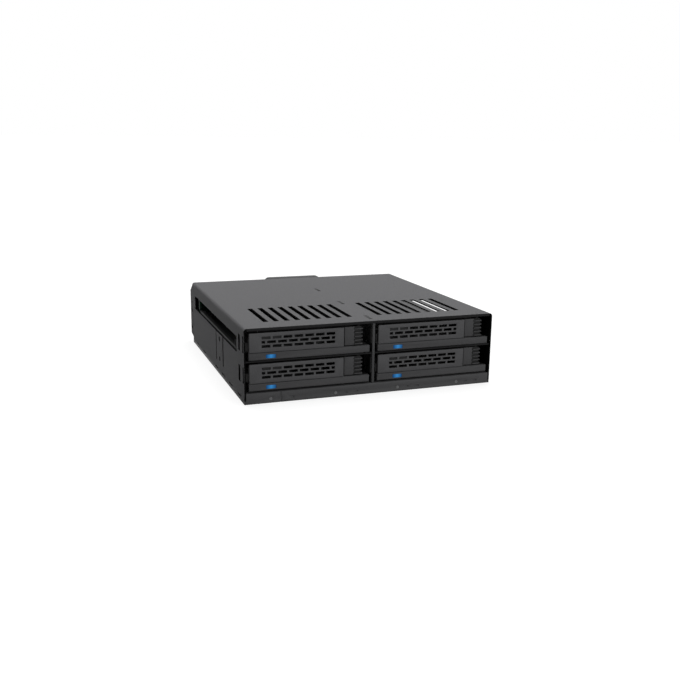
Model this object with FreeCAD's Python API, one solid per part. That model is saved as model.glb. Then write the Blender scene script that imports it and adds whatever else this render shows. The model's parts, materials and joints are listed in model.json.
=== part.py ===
import FreeCAD, Part
import math
import os

# Hot swap drive cage: a half-height 5.25 inch bay module with four sliding trays
# for 2.5 inch drives, in two columns and two rows.
# X is across the front, Y runs from the front face to the rear, Z is up.
# All sizes are in millimetres. The pieces are drawn with the front face at Y = 0
# and the underside at Z = 0, and shift back at the end so that the origin lies
# under the middle of the whole cage.

# Cage envelope
CAGE_WIDTH = 146.0
CAGE_HEIGHT = 41.3
CAGE_DEPTH = 149.0
SHEET = 0.8
BEND_RADIUS = 1.6
FRONT_FLANGE_SETBACK = 0.3
FRONT_FLANGE_DROP = 1.5

# Small fasteners and their holes are drawn with this many flat sides
FASTENER_SIDES = 12

# Rear ears of the side walls, which reach back beside the fan
EAR_REACH = 7.5
EAR_TOP_DROP = 4.8
EAR_BOTTOM = 4.0
EAR_BOTTOM_SLOPE = 1.2
EAR_CREASE_SETBACK = 0.4
EAR_CREASE_WIDTH = 0.8
EAR_CREASE_DEPTH = 0.35
EAR_CREASE_LOW = 5.0
EAR_CREASE_TOP_DROP = 13.0

# Bottom pan and the status strip in front of it
PAN_LIP_HEIGHT = 2.0
STRIP_HEIGHT = 6.0
STRIP_WALL = 1.4
STRIP_LEDGE = 0.8
STRIP_LOW_LEDGE = 0.5
STRIP_REACH = 5.0
STRIP_END_GAP = 0.1
STRIP_SEAM_INSET = 20.0
STRIP_SEAM_WIDTH = 0.35
STRIP_MARK_DEPTH = 0.4
STATUS_COUNT = 4
STATUS_LEFT_INSET = 14.4
STATUS_RIGHT_INSET = 21.2
STATUS_Z = 2.3
STATUS_LENS_RADIUS = 0.9
STATUS_LENS_LENGTH = 2.6
STATUS_MARK_OFFSETS = (5.5, 11.8)
STATUS_MARK_WIDTH = 2.2
STATUS_MARK_HEIGHT = 1.0
STATUS_BOARD_THICKNESS = 1.0
STATUS_BOARD_INSET = 3.2
STATUS_LED_DEPTH = 0.7
STATUS_LED_HALF = 0.8
LENS_CLEARANCE = 0.05

# Trays: two columns and two rows
DIVIDER_THICKNESS = 1.4
LOWER_TRAY_Z = 7.0
ROOF_ALLOWANCE = 0.7
TRAY_ROW_GAP = 2.0
TRAY_REST_GAP = 0.3
TRAY_SIDE_GAP = 0.2

# Sled of a tray, the part that carries the drive
SLED_EDGE = 1.55
SLED_FRONT = 5.6
SLED_FLOOR = 1.0
SLED_CONNECTOR_GAP = 0.5
RAIL_FRONT = 9.9
RAIL_WIDTH = 2.7
RAIL_HEIGHT = 2.5
RAIL_SHEET = 0.5
SLED_STOP_Y = 24.4
SLED_STOP_THICKNESS = 0.6
SLED_STOP_HEIGHT = 6.6
SLED_SLOT_WIDTH = 9.0
SLED_SLOT_LENGTH = 15.0
SLED_SLOT_COLUMNS = 4
SLED_SLOT_ROWS = 4
SLED_SLOT_PITCH_X = 13.4
SLED_SLOT_FIRST_Y = 50.5
SLED_SLOT_REAR_MARGIN = 14.0

# Screw places of the 2.5 inch drive that a tray takes
DRIVE_HOLE_SPACING_X = 61.72
DRIVE_HOLE_SPACING_Y = 76.6
DRIVE_HOLE_REAR = 14.0
DRIVE_HOLE_RADIUS = 1.6
DRIVE_END_GAP = 0.3
DRIVE_BOSS_RADIUS = 2.8

# Bezel of a tray
BEZEL_STRIP_HEIGHT = 4.0
BEZEL_STRIP_DEPTH = 5.4
BEZEL_BASE_REAR = 9.4
BEZEL_BEVEL = 0.5
BEZEL_BACK_Y = 4.4
BEZEL_BACK_THICKNESS = 1.0
BEZEL_BACK_LEFT = 6.4
BEZEL_BACK_RIGHT_INSET = 4.05
BEZEL_BACK_RISE = 0.6
GRILLE_WINDOW_LOW = 6.2
GRILLE_WINDOW_DROP = 2.0

# Swing lever of a tray
LEVER_SEAM = 0.3
LEVER_SKIN = 1.2
LEVER_RIB = 0.8
LEVER_RIB_DEPTH = 3.4
LEVER_CORNER = 0.8
PIN_INSET = 3.2
PIN_RADIUS = 0.8
PIN_BEZEL_CLEARANCE = 0.02
PIN_LEVER_CLEARANCE = 0.06
PIN_FOOT = 1.0
KNUCKLE_RADIUS = 1.55
KNUCKLE_DROP = 4.4
LUG_RADIUS = 1.4
LUG_GAP = 0.2
LUG_HEIGHT = 2.0
HOOK_REACH = 4.4
HOOK_FRONT = 1.4
HOOK_REAR = 3.0
HOOK_LOW = 5.0
HOOK_DROP = 0.8

# Vent slots in the lever, in courses like brickwork
VENT_LEFT = 7.05
VENT_LENGTH = 4.8
VENT_HEIGHT = 1.45
VENT_PITCH = 6.0
VENT_HOUSING_GAP = 0.1
VENT_FIRST_LIFT = 3.1
VENT_COURSE_PITCH = 2.32
VENT_TOP_MARGIN = 2.7
VENT_BLIND_COUNT = 2
VENT_BLIND_DEPTH = 0.35

# Latch in the lever, and the housing that it slides in
LATCH_SEAM_INSET = 15.05
LATCH_GROOVE_WIDTH = 0.7
LATCH_GROOVE_DEPTH = 0.6
LATCH_FOOT_GAP = 0.25
LATCH_RIGHT_INSET = 4.65
LATCH_RECESS = 0.9
LATCH_SKIN = 0.9
LATCH_OVERLAP = 1.5
LATCH_TRAVEL = 2.0
LATCH_BODY_SETBACK = 0.5
LATCH_BODY_INSET = 0.9
LATCH_BODY_DEPTH = 1.2
LATCH_CLEARANCE = 0.2
LATCH_SKIN_CLEARANCE = 0.1
LATCH_STEM_INSET = 9.55
LATCH_STEM_WIDTH = 1.7
LATCH_NOSE_REACH = 1.7
LATCH_NOSE_THICKNESS = 0.9
LATCH_TOOTH_HEIGHT = 3.0
LATCH_WINDOW_SIDE = 0.3
LATCH_WINDOW_RISE = 0.7
LATCH_RIB_PITCH = 2.1
LATCH_RIB_MARGIN = 1.0
LATCH_RIB_HEIGHT = 0.9
LATCH_RIB_LENGTH = 4.7
LATCH_RIB_PROUD = 0.7
LATCH_RIB_OVERHANG = 0.6
HOUSING_WALL_SETBACK = 3.7
HOUSING_WALL_THICKNESS = 1.2
HOUSING_BACK_THICKNESS = 0.8
HOUSING_BACK_GAP = 0.5
SPRING_RADIUS = 0.45
SPRING_WIRE = 0.24
SPRING_TURNS = 3

# Light lens of a tray
LIGHT_CENTRE = 12.1
LIGHT_WIDTH = 5.5
LIGHT_HEIGHT = 1.9
LIGHT_Z = 1.9
LIGHT_LENGTH = 5.0

# Screws that hold a bezel to its sled
TRAY_SCREW_LEFT_INSET = 21.5
TRAY_SCREW_RIGHT_INSET = 11.5
TRAY_SCREW_Y = 7.6
TRAY_SCREW_HEAD_RADIUS = 1.6
TRAY_SCREW_HEAD = 0.7
TRAY_SCREW_RADIUS = 0.9
TRAY_SCREW_REACH = 3.4
SCREW_CLEARANCE = 0.05

# Shelves and divider
SHELF_BOARD_GAP = 1.6
UPPER_SHELF_FRONT = 0.6
LOWER_SHELF_FRONT = 6.0
SHELF_FLANGE = 2.2
SHELF_FLANGE_FRONT = 8.0
LAP_Y = 58.0
LAP_CLEARANCE = 0.05
DIVIDER_FRONT = 0.3
TAB_CENTRES = (9.8, 54.5, 99.5)
TAB_LENGTH = 10.0
TAB_CLEARANCE = 0.15

# Openings of the top plate
TOP_SLOT_COUNT = 9
TOP_SLOT_PITCH = 6.03
TOP_SLOT_WIDTH = 2.9
TOP_SLOT_LENGTH = 37.2
TOP_SLOT_FRONT = 13.9
TOP_GROUP_SHIFT = 3.25

# Openings of the side walls
WINDOW_FRONT = 17.0
WINDOW_REAR_MARGIN = 9.5
WINDOW_LIFT = 1.2
WINDOW_TOP_DROP = 7.5
SIDE_SLIT_CENTRES = (52.5, 71.5)
SIDE_SLIT_WIDTHS = (2.4, 1.6)
SIDE_SLIT_LOW = 7.4
HOOK_SLOT_FRONTS = (1.0, 8.9)
HOOK_SLOT_WIDTHS = (2.4, 3.8)
HOOK_SLOT_LOWS = (4.2, 3.6)
HOOK_SLOT_DROPS = (1.6, 2.2)
FOOT_NOTCHES_FROM_FRONT = (12.0, 33.0, 52.0, 71.0)
FOOT_NOTCHES_FROM_REAR = (39.0, 18.0)
FOOT_NOTCH_LENGTH = 8.0
FOOT_NOTCH_HEIGHT = 1.0

# Bay mounting holes, in two rows at the heights of half-height 5.25 inch devices
BAY_HOLE_FRONT_Y = 62.0
BAY_HOLE_EAR_SETBACK = 3.4
BAY_HOLE_LOW_Z = 9.9
BAY_HOLE_SPACING_Z = 11.94
BAY_HOLE_RADIUS = 1.5

# Backplane board and what it carries
BOARD_TO_PANEL = 14.6
BOARD_THICKNESS = 1.6
BOARD_SIDE_GAP = 1.2
BOARD_LOW = 2.4
BOARD_TOP_GAP = 0.7
BOARD_SLOT_WIDTH = 9.0
BOARD_SLOT_HEIGHT = 4.4
BOARD_SLOT_PITCH = 12.5
BOARD_SLOT_COUNT = 4
BOARD_SLOT_RISE = 0.3
CONNECTOR_WIDTH = 42.5
CONNECTOR_HEIGHT = 5.4
CONNECTOR_DEPTH = 5.5
CONNECTOR_RISE = 0.4
CONNECTOR_OFFSET = 4.8
CONNECTOR_SLOT_WIDTH = 34.0
CONNECTOR_SLOT_HEIGHT = 1.8
CONNECTOR_SLOT_DEPTH = 4.2
CONNECTOR_RIB_X = 5.6
CONNECTOR_RIB_WIDTH = 1.4
PORT_WIDTH = 14.0
PORT_HEIGHT = 6.4
PORT_BASE = 2.6
PORT_REACH = 8.6
PORT_BLADE_WIDTH = 10.0
PORT_BLADE_THICKNESS = 1.3
PORT_KEY = 2.2
PORT_POST = 1.4
PORT_LIFT = 4.1
POWER_WIDTH = 22.4
POWER_BLADE_WIDTH = 18.6
POWER_EDGE = 5.2

# Rear panel
PANEL_FLANGE_DEPTH = 6.0
PANEL_FLANGE_INSET = 10.2
PANEL_PORT_MARGIN = 1.5
PANEL_GRILLE_COUNT = 4
PANEL_GRILLE_PITCH = 5.0
PANEL_GRILLE_WIDTH = 2.8
PANEL_GRILLE_LOW = 9.5
PANEL_GRILLE_HEIGHT = 9.5
STANDOFF_RADIUS = 2.6
STANDOFF_SIDES = 6
STANDOFF_HOLE_RADIUS = 1.3
STANDOFF_SIDE_INSET = 4.2
STANDOFF_LOW = 5.2
STANDOFF_TOP_DROP = 4.9
SMALL_SCREW_RADIUS = 1.2
SMALL_SCREW_HEAD_RADIUS = 2.3
SMALL_SCREW_HEAD = 1.2
SMALL_SCREW_REACH = 4.0
SMALL_SCREW_SLOT = 0.6

# Fan on the rear panel
FAN_EDGE_GAP = 0.65
FAN_RISE = 0.35
FAN_DEPTH = 10.0
FAN_CORNER = 3.0
FAN_HOLE_INSET = 4.0
FAN_HOLE_RADIUS = 1.75
FAN_DUCT_WALL = 1.1
FAN_HUB_RADIUS = 9.0
FAN_HUB_BEVEL = 0.7
FAN_STRUT_WIDTH = 2.2
FAN_STRUT_THICKNESS = 1.5
FAN_STRUT_COUNT = 4
FAN_ROTOR_FRONT_GAP = 0.8
FAN_ROTOR_REAR_GAP = 0.5
FAN_BLADE_COUNT = 7
FAN_BLADE_CHORD = 8.4
FAN_BLADE_THICKNESS = 0.9
FAN_BLADE_DEGREES = 38.0
FAN_TIP_CLEARANCE = 0.7
FAN_BLADE_ROOT_DEPTH = 1.0
FAN_SHAFT_RADIUS = 1.0
FAN_SHAFT_CLEARANCE = 0.05
FAN_SCREW_RADIUS = 1.4
FAN_SCREW_HEAD_RADIUS = 2.7
FAN_SCREW_HEAD = 1.6
FAN_SCREW_POINT = 1.2

# Worked out from the sizes above: the cage and the places of its trays
HALF_WIDTH = CAGE_WIDTH / 2
INNER_HALF = HALF_WIDTH - SHEET
UNDER_COVER = CAGE_HEIGHT - SHEET
CELL_INNER = DIVIDER_THICKNESS / 2
CELL_CENTRE = (INNER_HALF + CELL_INNER) / 2
ROW_PITCH = (CAGE_HEIGHT - ROOF_ALLOWANCE - LOWER_TRAY_Z) / 2
UPPER_TRAY_Z = LOWER_TRAY_Z + ROW_PITCH
TRAY_ROWS = {"upper": UPPER_TRAY_Z, "lower": LOWER_TRAY_Z}
TRAY_COLUMNS = {"left": -CELL_CENTRE, "right": CELL_CENTRE}
BEZEL_WIDTH = INNER_HALF - CELL_INNER - 2 * TRAY_SIDE_GAP - 2 * SLED_EDGE
BEZEL_HEIGHT = ROW_PITCH - TRAY_ROW_GAP

# Worked out: from the rear panel forward to the sleds
PANEL_FRONT = CAGE_DEPTH - SHEET
BOARD_REAR = PANEL_FRONT - BOARD_TO_PANEL
BOARD_FRONT = BOARD_REAR - BOARD_THICKNESS
BOARD_HALF = INNER_HALF - BOARD_SIDE_GAP
BOARD_HIGH = UNDER_COVER - BOARD_TOP_GAP
CONNECTOR_FRONT = BOARD_FRONT - CONNECTOR_DEPTH
CONNECTOR_LIFT = RAIL_HEIGHT + CONNECTOR_RISE
BOARD_SLOT_LIFT = CONNECTOR_LIFT + CONNECTOR_HEIGHT + BOARD_SLOT_RISE
SLED_REAR = CONNECTOR_FRONT - SLED_CONNECTOR_GAP
SHELF_REAR = BOARD_FRONT - SHELF_BOARD_GAP
FAN_REAR = CAGE_DEPTH + FAN_DEPTH
REAR_REACH = FAN_REAR + FAN_SCREW_HEAD

# Worked out: heights and depths in a tray, from its underside and its front face
LEVER_LOW = BEZEL_STRIP_HEIGHT + LEVER_SEAM
LEVER_MIDDLE = (LEVER_LOW + BEZEL_HEIGHT) / 2
KNUCKLE_TOP = BEZEL_HEIGHT - KNUCKLE_DROP
BEZEL_BACK_REAR = BEZEL_BACK_Y + BEZEL_BACK_THICKNESS
LATCH_BODY_Y = LATCH_RECESS + LATCH_SKIN
LATCH_BODY_REAR = LATCH_BODY_Y + LATCH_BODY_DEPTH
HOUSING_BACK_Y = LATCH_BODY_REAR + LATCH_CLEARANCE
HOUSING_REAR = HOUSING_BACK_Y + HOUSING_BACK_THICKNESS

# Worked out: places across a tray, from the left edge of its bezel
LATCH_SEAM = BEZEL_WIDTH - LATCH_SEAM_INSET
LATCH_LEFT = LATCH_SEAM - LATCH_OVERLAP
LATCH_RIGHT = BEZEL_WIDTH - LATCH_RIGHT_INSET
LATCH_BODY_LEFT = LATCH_SEAM + LATCH_BODY_SETBACK
LATCH_STEM_LEFT = BEZEL_WIDTH - LATCH_STEM_INSET
LATCH_STEM_RIGHT = LATCH_STEM_LEFT + LATCH_STEM_WIDTH
HOUSING_WALL_RIGHT = LATCH_SEAM - HOUSING_WALL_SETBACK
HOUSING_WALL_LEFT = HOUSING_WALL_RIGHT - HOUSING_WALL_THICKNESS
HOUSING_BACK_RIGHT = LATCH_STEM_LEFT - LATCH_TRAVEL - HOUSING_BACK_GAP
TRAY_SCREW_PLACES = (TRAY_SCREW_LEFT_INSET, BEZEL_WIDTH - TRAY_SCREW_RIGHT_INSET)

# Worked out: how many vents and ribs fit
VENT_ROOM = HOUSING_WALL_LEFT - VENT_HOUSING_GAP - VENT_LEFT - VENT_LENGTH
VENT_COLUMNS = int(VENT_ROOM / VENT_PITCH) + 1
VENT_FIRST_Z = LEVER_LOW + VENT_FIRST_LIFT
VENT_COURSE_ROOM = BEZEL_HEIGHT - VENT_TOP_MARGIN - VENT_FIRST_Z
VENT_COURSES = int(VENT_COURSE_ROOM / VENT_COURSE_PITCH) + 1
LATCH_RIB_ROOM = BEZEL_HEIGHT - LEVER_LOW - 2 * LATCH_RIB_MARGIN
LATCH_RIB_COUNT = int(LATCH_RIB_ROOM / LATCH_RIB_PITCH) + 1

# Worked out: the fan and what is spaced about it on the rear panel
FAN_SIZE = CAGE_HEIGHT - 2 * FAN_EDGE_GAP
FAN_CENTRE_Z = CAGE_HEIGHT / 2 + FAN_RISE
FAN_HOLE_SPACING = FAN_SIZE - 2 * FAN_HOLE_INSET
FAN_DUCT_RADIUS = FAN_SIZE / 2 - FAN_DUCT_WALL
POWER_X = INNER_HALF - POWER_EDGE - POWER_WIDTH / 2
PORT_X = (FAN_SIZE / 2 + POWER_X - POWER_WIDTH / 2) / 2
PORT_ROWS = [z + PORT_LIFT for z in (UPPER_TRAY_Z, LOWER_TRAY_Z)]
POWER_PLACES = [(side * POWER_X, PORT_ROWS[0]) for side in (-1, 1)]
PORT_PLACES = [(side * PORT_X, z) for z in PORT_ROWS for side in (-1, 1)]
STANDOFF_X = INNER_HALF - STANDOFF_SIDE_INSET
STANDOFF_ROWS = (STANDOFF_LOW, CAGE_HEIGHT - STANDOFF_TOP_DROP)
STANDOFF_PLACES = [(side * STANDOFF_X, z) for z in STANDOFF_ROWS for side in (-1, 1)]

# Worked out: openings of the cover and the strip
WINDOW_REAR = CAGE_DEPTH - WINDOW_REAR_MARGIN
WINDOW_LOW = UPPER_TRAY_Z + WINDOW_LIFT
WINDOW_HIGH = CAGE_HEIGHT - WINDOW_TOP_DROP
TOP_GROUP_CENTRE = CELL_CENTRE - TOP_GROUP_SHIFT
STATUS_FIRST_X = -HALF_WIDTH + STATUS_LEFT_INSET
STATUS_PITCH = (CAGE_WIDTH - STATUS_LEFT_INSET - STATUS_RIGHT_INSET) / (STATUS_COUNT - 1)
STATUS_PLACES = [STATUS_FIRST_X + i * STATUS_PITCH for i in range(STATUS_COUNT)]

# How far a cutting solid runs past the face that it cuts
PAST = 1.0


def block(x0, x1, y0, y1, z0, z1):
    """Box between two corners."""
    return Part.makeBox(x1 - x0, y1 - y0, z1 - z0, FreeCAD.Vector(x0, y0, z0))


def rod(radius, start, axis, length):
    """Round bar from a start point along an axis."""
    return Part.makeCylinder(radius, length, FreeCAD.Vector(*start), FreeCAD.Vector(*axis))


def rod_y(radius, x, z, y0, y1):
    """Round bar that runs from front to rear."""
    return rod(radius, (x, y0, z), (0, 1, 0), y1 - y0)


def rod_z(radius, x, y, z0, z1):
    """Round bar that stands upright."""
    return rod(radius, (x, y, z0), (0, 0, 1), z1 - z0)


def prism_x(points, x0, x1):
    """Outline of (y, z) points drawn out across the cage."""
    corners = [FreeCAD.Vector(x0, y, z) for y, z in points]
    outline = Part.makePolygon(corners + corners[:1])
    return Part.Face(outline).extrude(FreeCAD.Vector(x1 - x0, 0, 0))


def corner_ring(radius, sides):
    """Corners of a regular outline about the origin, as pairs of places across and up."""
    turns = [2 * math.pi * i / sides for i in range(sides)]
    return [(radius * math.cos(turn), radius * math.sin(turn)) for turn in turns]


def faceted_y(radius, x, z, y0, y1, sides=FASTENER_SIDES):
    """Flat-sided bar that runs from front to rear."""
    ring = corner_ring(radius, sides)
    corners = [FreeCAD.Vector(x + across, y0, z + up) for across, up in ring]
    outline = Part.makePolygon(corners + corners[:1])
    return Part.Face(outline).extrude(FreeCAD.Vector(0, y1 - y0, 0))


def faceted_z(radius, x, y, z0, z1, sides=FASTENER_SIDES):
    """Flat-sided bar that stands upright."""
    ring = corner_ring(radius, sides)
    corners = [FreeCAD.Vector(x + across, y + back, z0) for across, back in ring]
    outline = Part.makePolygon(corners + corners[:1])
    return Part.Face(outline).extrude(FreeCAD.Vector(0, 0, z1 - z0))


def joined(shapes):
    """One solid from pieces that meet."""
    whole = shapes[0].fuse(shapes[1:]) if len(shapes) > 1 else shapes[0]
    return whole.removeSplitter()


def edges_along(shape, direction, test):
    """Straight edges along a direction whose middle passes a test."""
    found = []
    for edge in shape.Edges:
        if len(edge.Vertexes) != 2:
            continue
        run = edge.Vertexes[1].Point - edge.Vertexes[0].Point
        if run.Length and abs(run.dot(direction)) / run.Length > 0.999:
            if test(edge.CenterOfMass):
                found.append(edge)
    return found


def save(name, shape):
    """Writes one named piece in its place about the cage's origin."""
    placed = shape.copy()
    placed.translate(FreeCAD.Vector(0, -REAR_REACH / 2, 0))
    if not placed.isValid():
        print("not valid:", name)
    placed.exportStep(os.path.join("parts", name + ".step"))
    print(name, "solids", len(placed.Solids), "volume", round(placed.Volume, 2))


# Sheet metal of the cage

def bent_channel():
    """Folded cover: a top plate with both side walls, rounded at the bends."""
    along = FreeCAD.Vector(0, 1, 0)
    rear = CAGE_DEPTH + EAR_REACH
    outer = block(-HALF_WIDTH, HALF_WIDTH, 0, rear, PAN_LIP_HEIGHT, CAGE_HEIGHT)
    outer = outer.makeFillet(BEND_RADIUS, edges_along(outer, along, lambda c: c.z > UNDER_COVER))
    inner = block(-INNER_HALF, INNER_HALF, -PAST, rear + PAST, PAN_LIP_HEIGHT - PAST, UNDER_COVER)
    bends = edges_along(inner, along, lambda c: c.z > UNDER_COVER - SHEET)
    inner = inner.makeFillet(BEND_RADIUS - SHEET, bends)
    return outer.cut(inner)


def ear_trims():
    """What comes off the folded blank behind the top plate to leave the two ears."""
    rear = CAGE_DEPTH + EAR_REACH
    top = CAGE_HEIGHT + PAST
    plate = block(-INNER_HALF, INNER_HALF, CAGE_DEPTH, rear + PAST, UNDER_COVER - BEND_RADIUS, top)
    slope = prism_x(
        [
            (CAGE_DEPTH, CAGE_HEIGHT - BEND_RADIUS),
            (rear, CAGE_HEIGHT - BEND_RADIUS - EAR_TOP_DROP),
            (rear + PAST, CAGE_HEIGHT - BEND_RADIUS - EAR_TOP_DROP),
            (rear + PAST, top),
            (CAGE_DEPTH, top),
        ],
        -HALF_WIDTH - PAST,
        HALF_WIDTH + PAST,
    )
    foot = prism_x(
        [
            (CAGE_DEPTH, PAN_LIP_HEIGHT - PAST),
            (CAGE_DEPTH, EAR_BOTTOM),
            (rear, EAR_BOTTOM + EAR_BOTTOM_SLOPE),
            (rear + PAST, EAR_BOTTOM + EAR_BOTTOM_SLOPE),
            (rear + PAST, PAN_LIP_HEIGHT - PAST),
        ],
        -HALF_WIDTH - PAST,
        HALF_WIDTH + PAST,
    )
    return [plate, slope, foot]


def top_vents():
    """Two groups of long vent slots in the top plate, one over each column of trays."""
    cuts = []
    middle = (TOP_SLOT_COUNT - 1) / 2
    for side in (-1, 1):
        for i in range(TOP_SLOT_COUNT):
            x = side * TOP_GROUP_CENTRE + (i - middle) * TOP_SLOT_PITCH
            half = TOP_SLOT_WIDTH / 2
            rear = TOP_SLOT_FRONT + TOP_SLOT_LENGTH
            low = UNDER_COVER - PAST
            cuts.append(block(x - half, x + half, TOP_SLOT_FRONT, rear, low, CAGE_HEIGHT + PAST))
    return cuts


def tab_slots():
    """Slots in the top plate that take the tabs of the divider."""
    half_x = DIVIDER_THICKNESS / 2 + TAB_CLEARANCE
    half_y = TAB_LENGTH / 2 + TAB_CLEARANCE
    low = UNDER_COVER - PAST
    high = CAGE_HEIGHT + PAST
    return [block(-half_x, half_x, y - half_y, y + half_y, low, high) for y in TAB_CENTRES]


def hook_slots(x0, x1):
    """Slots at lever height, in both rows, for the hooks of the levers."""
    cuts = []
    for z in TRAY_ROWS.values():
        for i, front in enumerate(HOOK_SLOT_FRONTS):
            low = z + HOOK_SLOT_LOWS[i]
            high = z + BEZEL_HEIGHT - HOOK_SLOT_DROPS[i]
            cuts.append(block(x0, x1, front, front + HOOK_SLOT_WIDTHS[i], low, high))
    return cuts


def bay_hole_places():
    """Front and rear, low and high places of the mounting holes in a side wall."""
    rows = (BAY_HOLE_LOW_Z, BAY_HOLE_LOW_Z + BAY_HOLE_SPACING_Z)
    return [(y, z) for y in (BAY_HOLE_FRONT_Y, CAGE_DEPTH + BAY_HOLE_EAR_SETBACK) for z in rows]


def side_openings():
    """Windows, slits, mounting holes and foot notches of both side walls."""
    wide = HALF_WIDTH + PAST
    cuts = [block(-wide, wide, WINDOW_FRONT, WINDOW_REAR, WINDOW_LOW, WINDOW_HIGH)]
    for y, width in zip(SIDE_SLIT_CENTRES, SIDE_SLIT_WIDTHS):
        half = width / 2
        cuts.append(block(-wide, wide, y - half, y + half, SIDE_SLIT_LOW, WINDOW_LOW + PAST))
    for y, z in bay_hole_places():
        cuts.append(rod(BAY_HOLE_RADIUS, (-wide, y, z), (1, 0, 0), 2 * wide))
    notches = list(FOOT_NOTCHES_FROM_FRONT)
    notches += [CAGE_DEPTH - distance for distance in FOOT_NOTCHES_FROM_REAR]
    for y in notches:
        half = FOOT_NOTCH_LENGTH / 2
        high = PAN_LIP_HEIGHT + FOOT_NOTCH_HEIGHT
        cuts.append(block(-wide, wide, y - half, y + half, PAN_LIP_HEIGHT - PAST, high))
    return cuts


def ear_creases():
    """Shallow pressed line where each ear leaves the side wall."""
    y0 = CAGE_DEPTH + EAR_CREASE_SETBACK
    y1 = y0 + EAR_CREASE_WIDTH
    high = CAGE_HEIGHT - EAR_CREASE_TOP_DROP
    cuts = []
    for side in (-1, 1):
        x0, x1 = sorted((side * (HALF_WIDTH - EAR_CREASE_DEPTH), side * (HALF_WIDTH + PAST)))
        cuts.append(block(x0, x1, y0, y1, EAR_CREASE_LOW, high))
    return cuts


def make_top_cover():
    """Cover with its front flange, and everything punched through it."""
    flange_rear = FRONT_FLANGE_SETBACK + SHEET
    flange_low = CAGE_HEIGHT - FRONT_FLANGE_DROP
    flange = block(-INNER_HALF, INNER_HALF, FRONT_FLANGE_SETBACK, flange_rear, flange_low, UNDER_COVER)
    cover = joined([bent_channel(), flange])
    cuts = ear_trims() + ear_creases() + top_vents() + tab_slots() + side_openings()
    cuts += hook_slots(-HALF_WIDTH - PAST, -INNER_HALF + PAST)
    return cover.cut(cuts)


def make_bottom_pan():
    """Flat pan with a low lip up each side, under the side walls of the cover."""
    pieces = [block(-INNER_HALF, INNER_HALF, STRIP_WALL, CAGE_DEPTH, 0, SHEET)]
    for side in (-1, 1):
        x0, x1 = sorted((side * INNER_HALF, side * HALF_WIDTH))
        pieces.append(block(x0, x1, 0, CAGE_DEPTH, 0, PAN_LIP_HEIGHT))
    return joined(pieces)


def make_shelf(z, front):
    """Shelf that a row of trays slides on, slotted from the front for the divider."""
    low = z - TRAY_REST_GAP - SHEET
    pieces = [block(-INNER_HALF, INNER_HALF, front, SHELF_REAR, low, low + SHEET)]
    for side in (-1, 1):
        x0, x1 = sorted((side * INNER_HALF, side * (INNER_HALF - SHEET)))
        bottom = low - SHELF_FLANGE
        pieces.append(block(x0, x1, SHELF_FLANGE_FRONT, SHELF_REAR, bottom, low + SHEET))
    half = DIVIDER_THICKNESS / 2 + LAP_CLEARANCE
    slot = block(-half, half, front - PAST, LAP_Y + LAP_CLEARANCE, low - PAST, low + SHEET + PAST)
    return joined(pieces).cut(slot)


def make_centre_divider():
    """Upright divider, lapped with both shelves and tabbed into the top plate."""
    half = DIVIDER_THICKNESS / 2
    pieces = [block(-half, half, DIVIDER_FRONT, SHELF_REAR, SHEET, UNDER_COVER)]
    for y in TAB_CENTRES:
        reach = TAB_LENGTH / 2
        pieces.append(block(-half, half, y - reach, y + reach, UNDER_COVER, CAGE_HEIGHT))
    cuts = hook_slots(-half - PAST, half + PAST)
    for z in TRAY_ROWS.values():
        low = z - TRAY_REST_GAP - SHEET - LAP_CLEARANCE
        high = z - TRAY_REST_GAP + LAP_CLEARANCE
        cuts.append(block(-half - PAST, half + PAST, LAP_Y, SHELF_REAR + PAST, low, high))
    front = STRIP_REACH + LENS_CLEARANCE
    cuts.append(block(-half - PAST, half + PAST, 0, front, 0, STRIP_HEIGHT + LENS_CLEARANCE))
    flange_low = CAGE_HEIGHT - FRONT_FLANGE_DROP - LAP_CLEARANCE
    front = FRONT_FLANGE_SETBACK + SHEET + LAP_CLEARANCE
    cuts.append(block(-half - PAST, half + PAST, 0, front, flange_low, CAGE_HEIGHT))
    return joined(pieces).cut(cuts)


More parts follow.
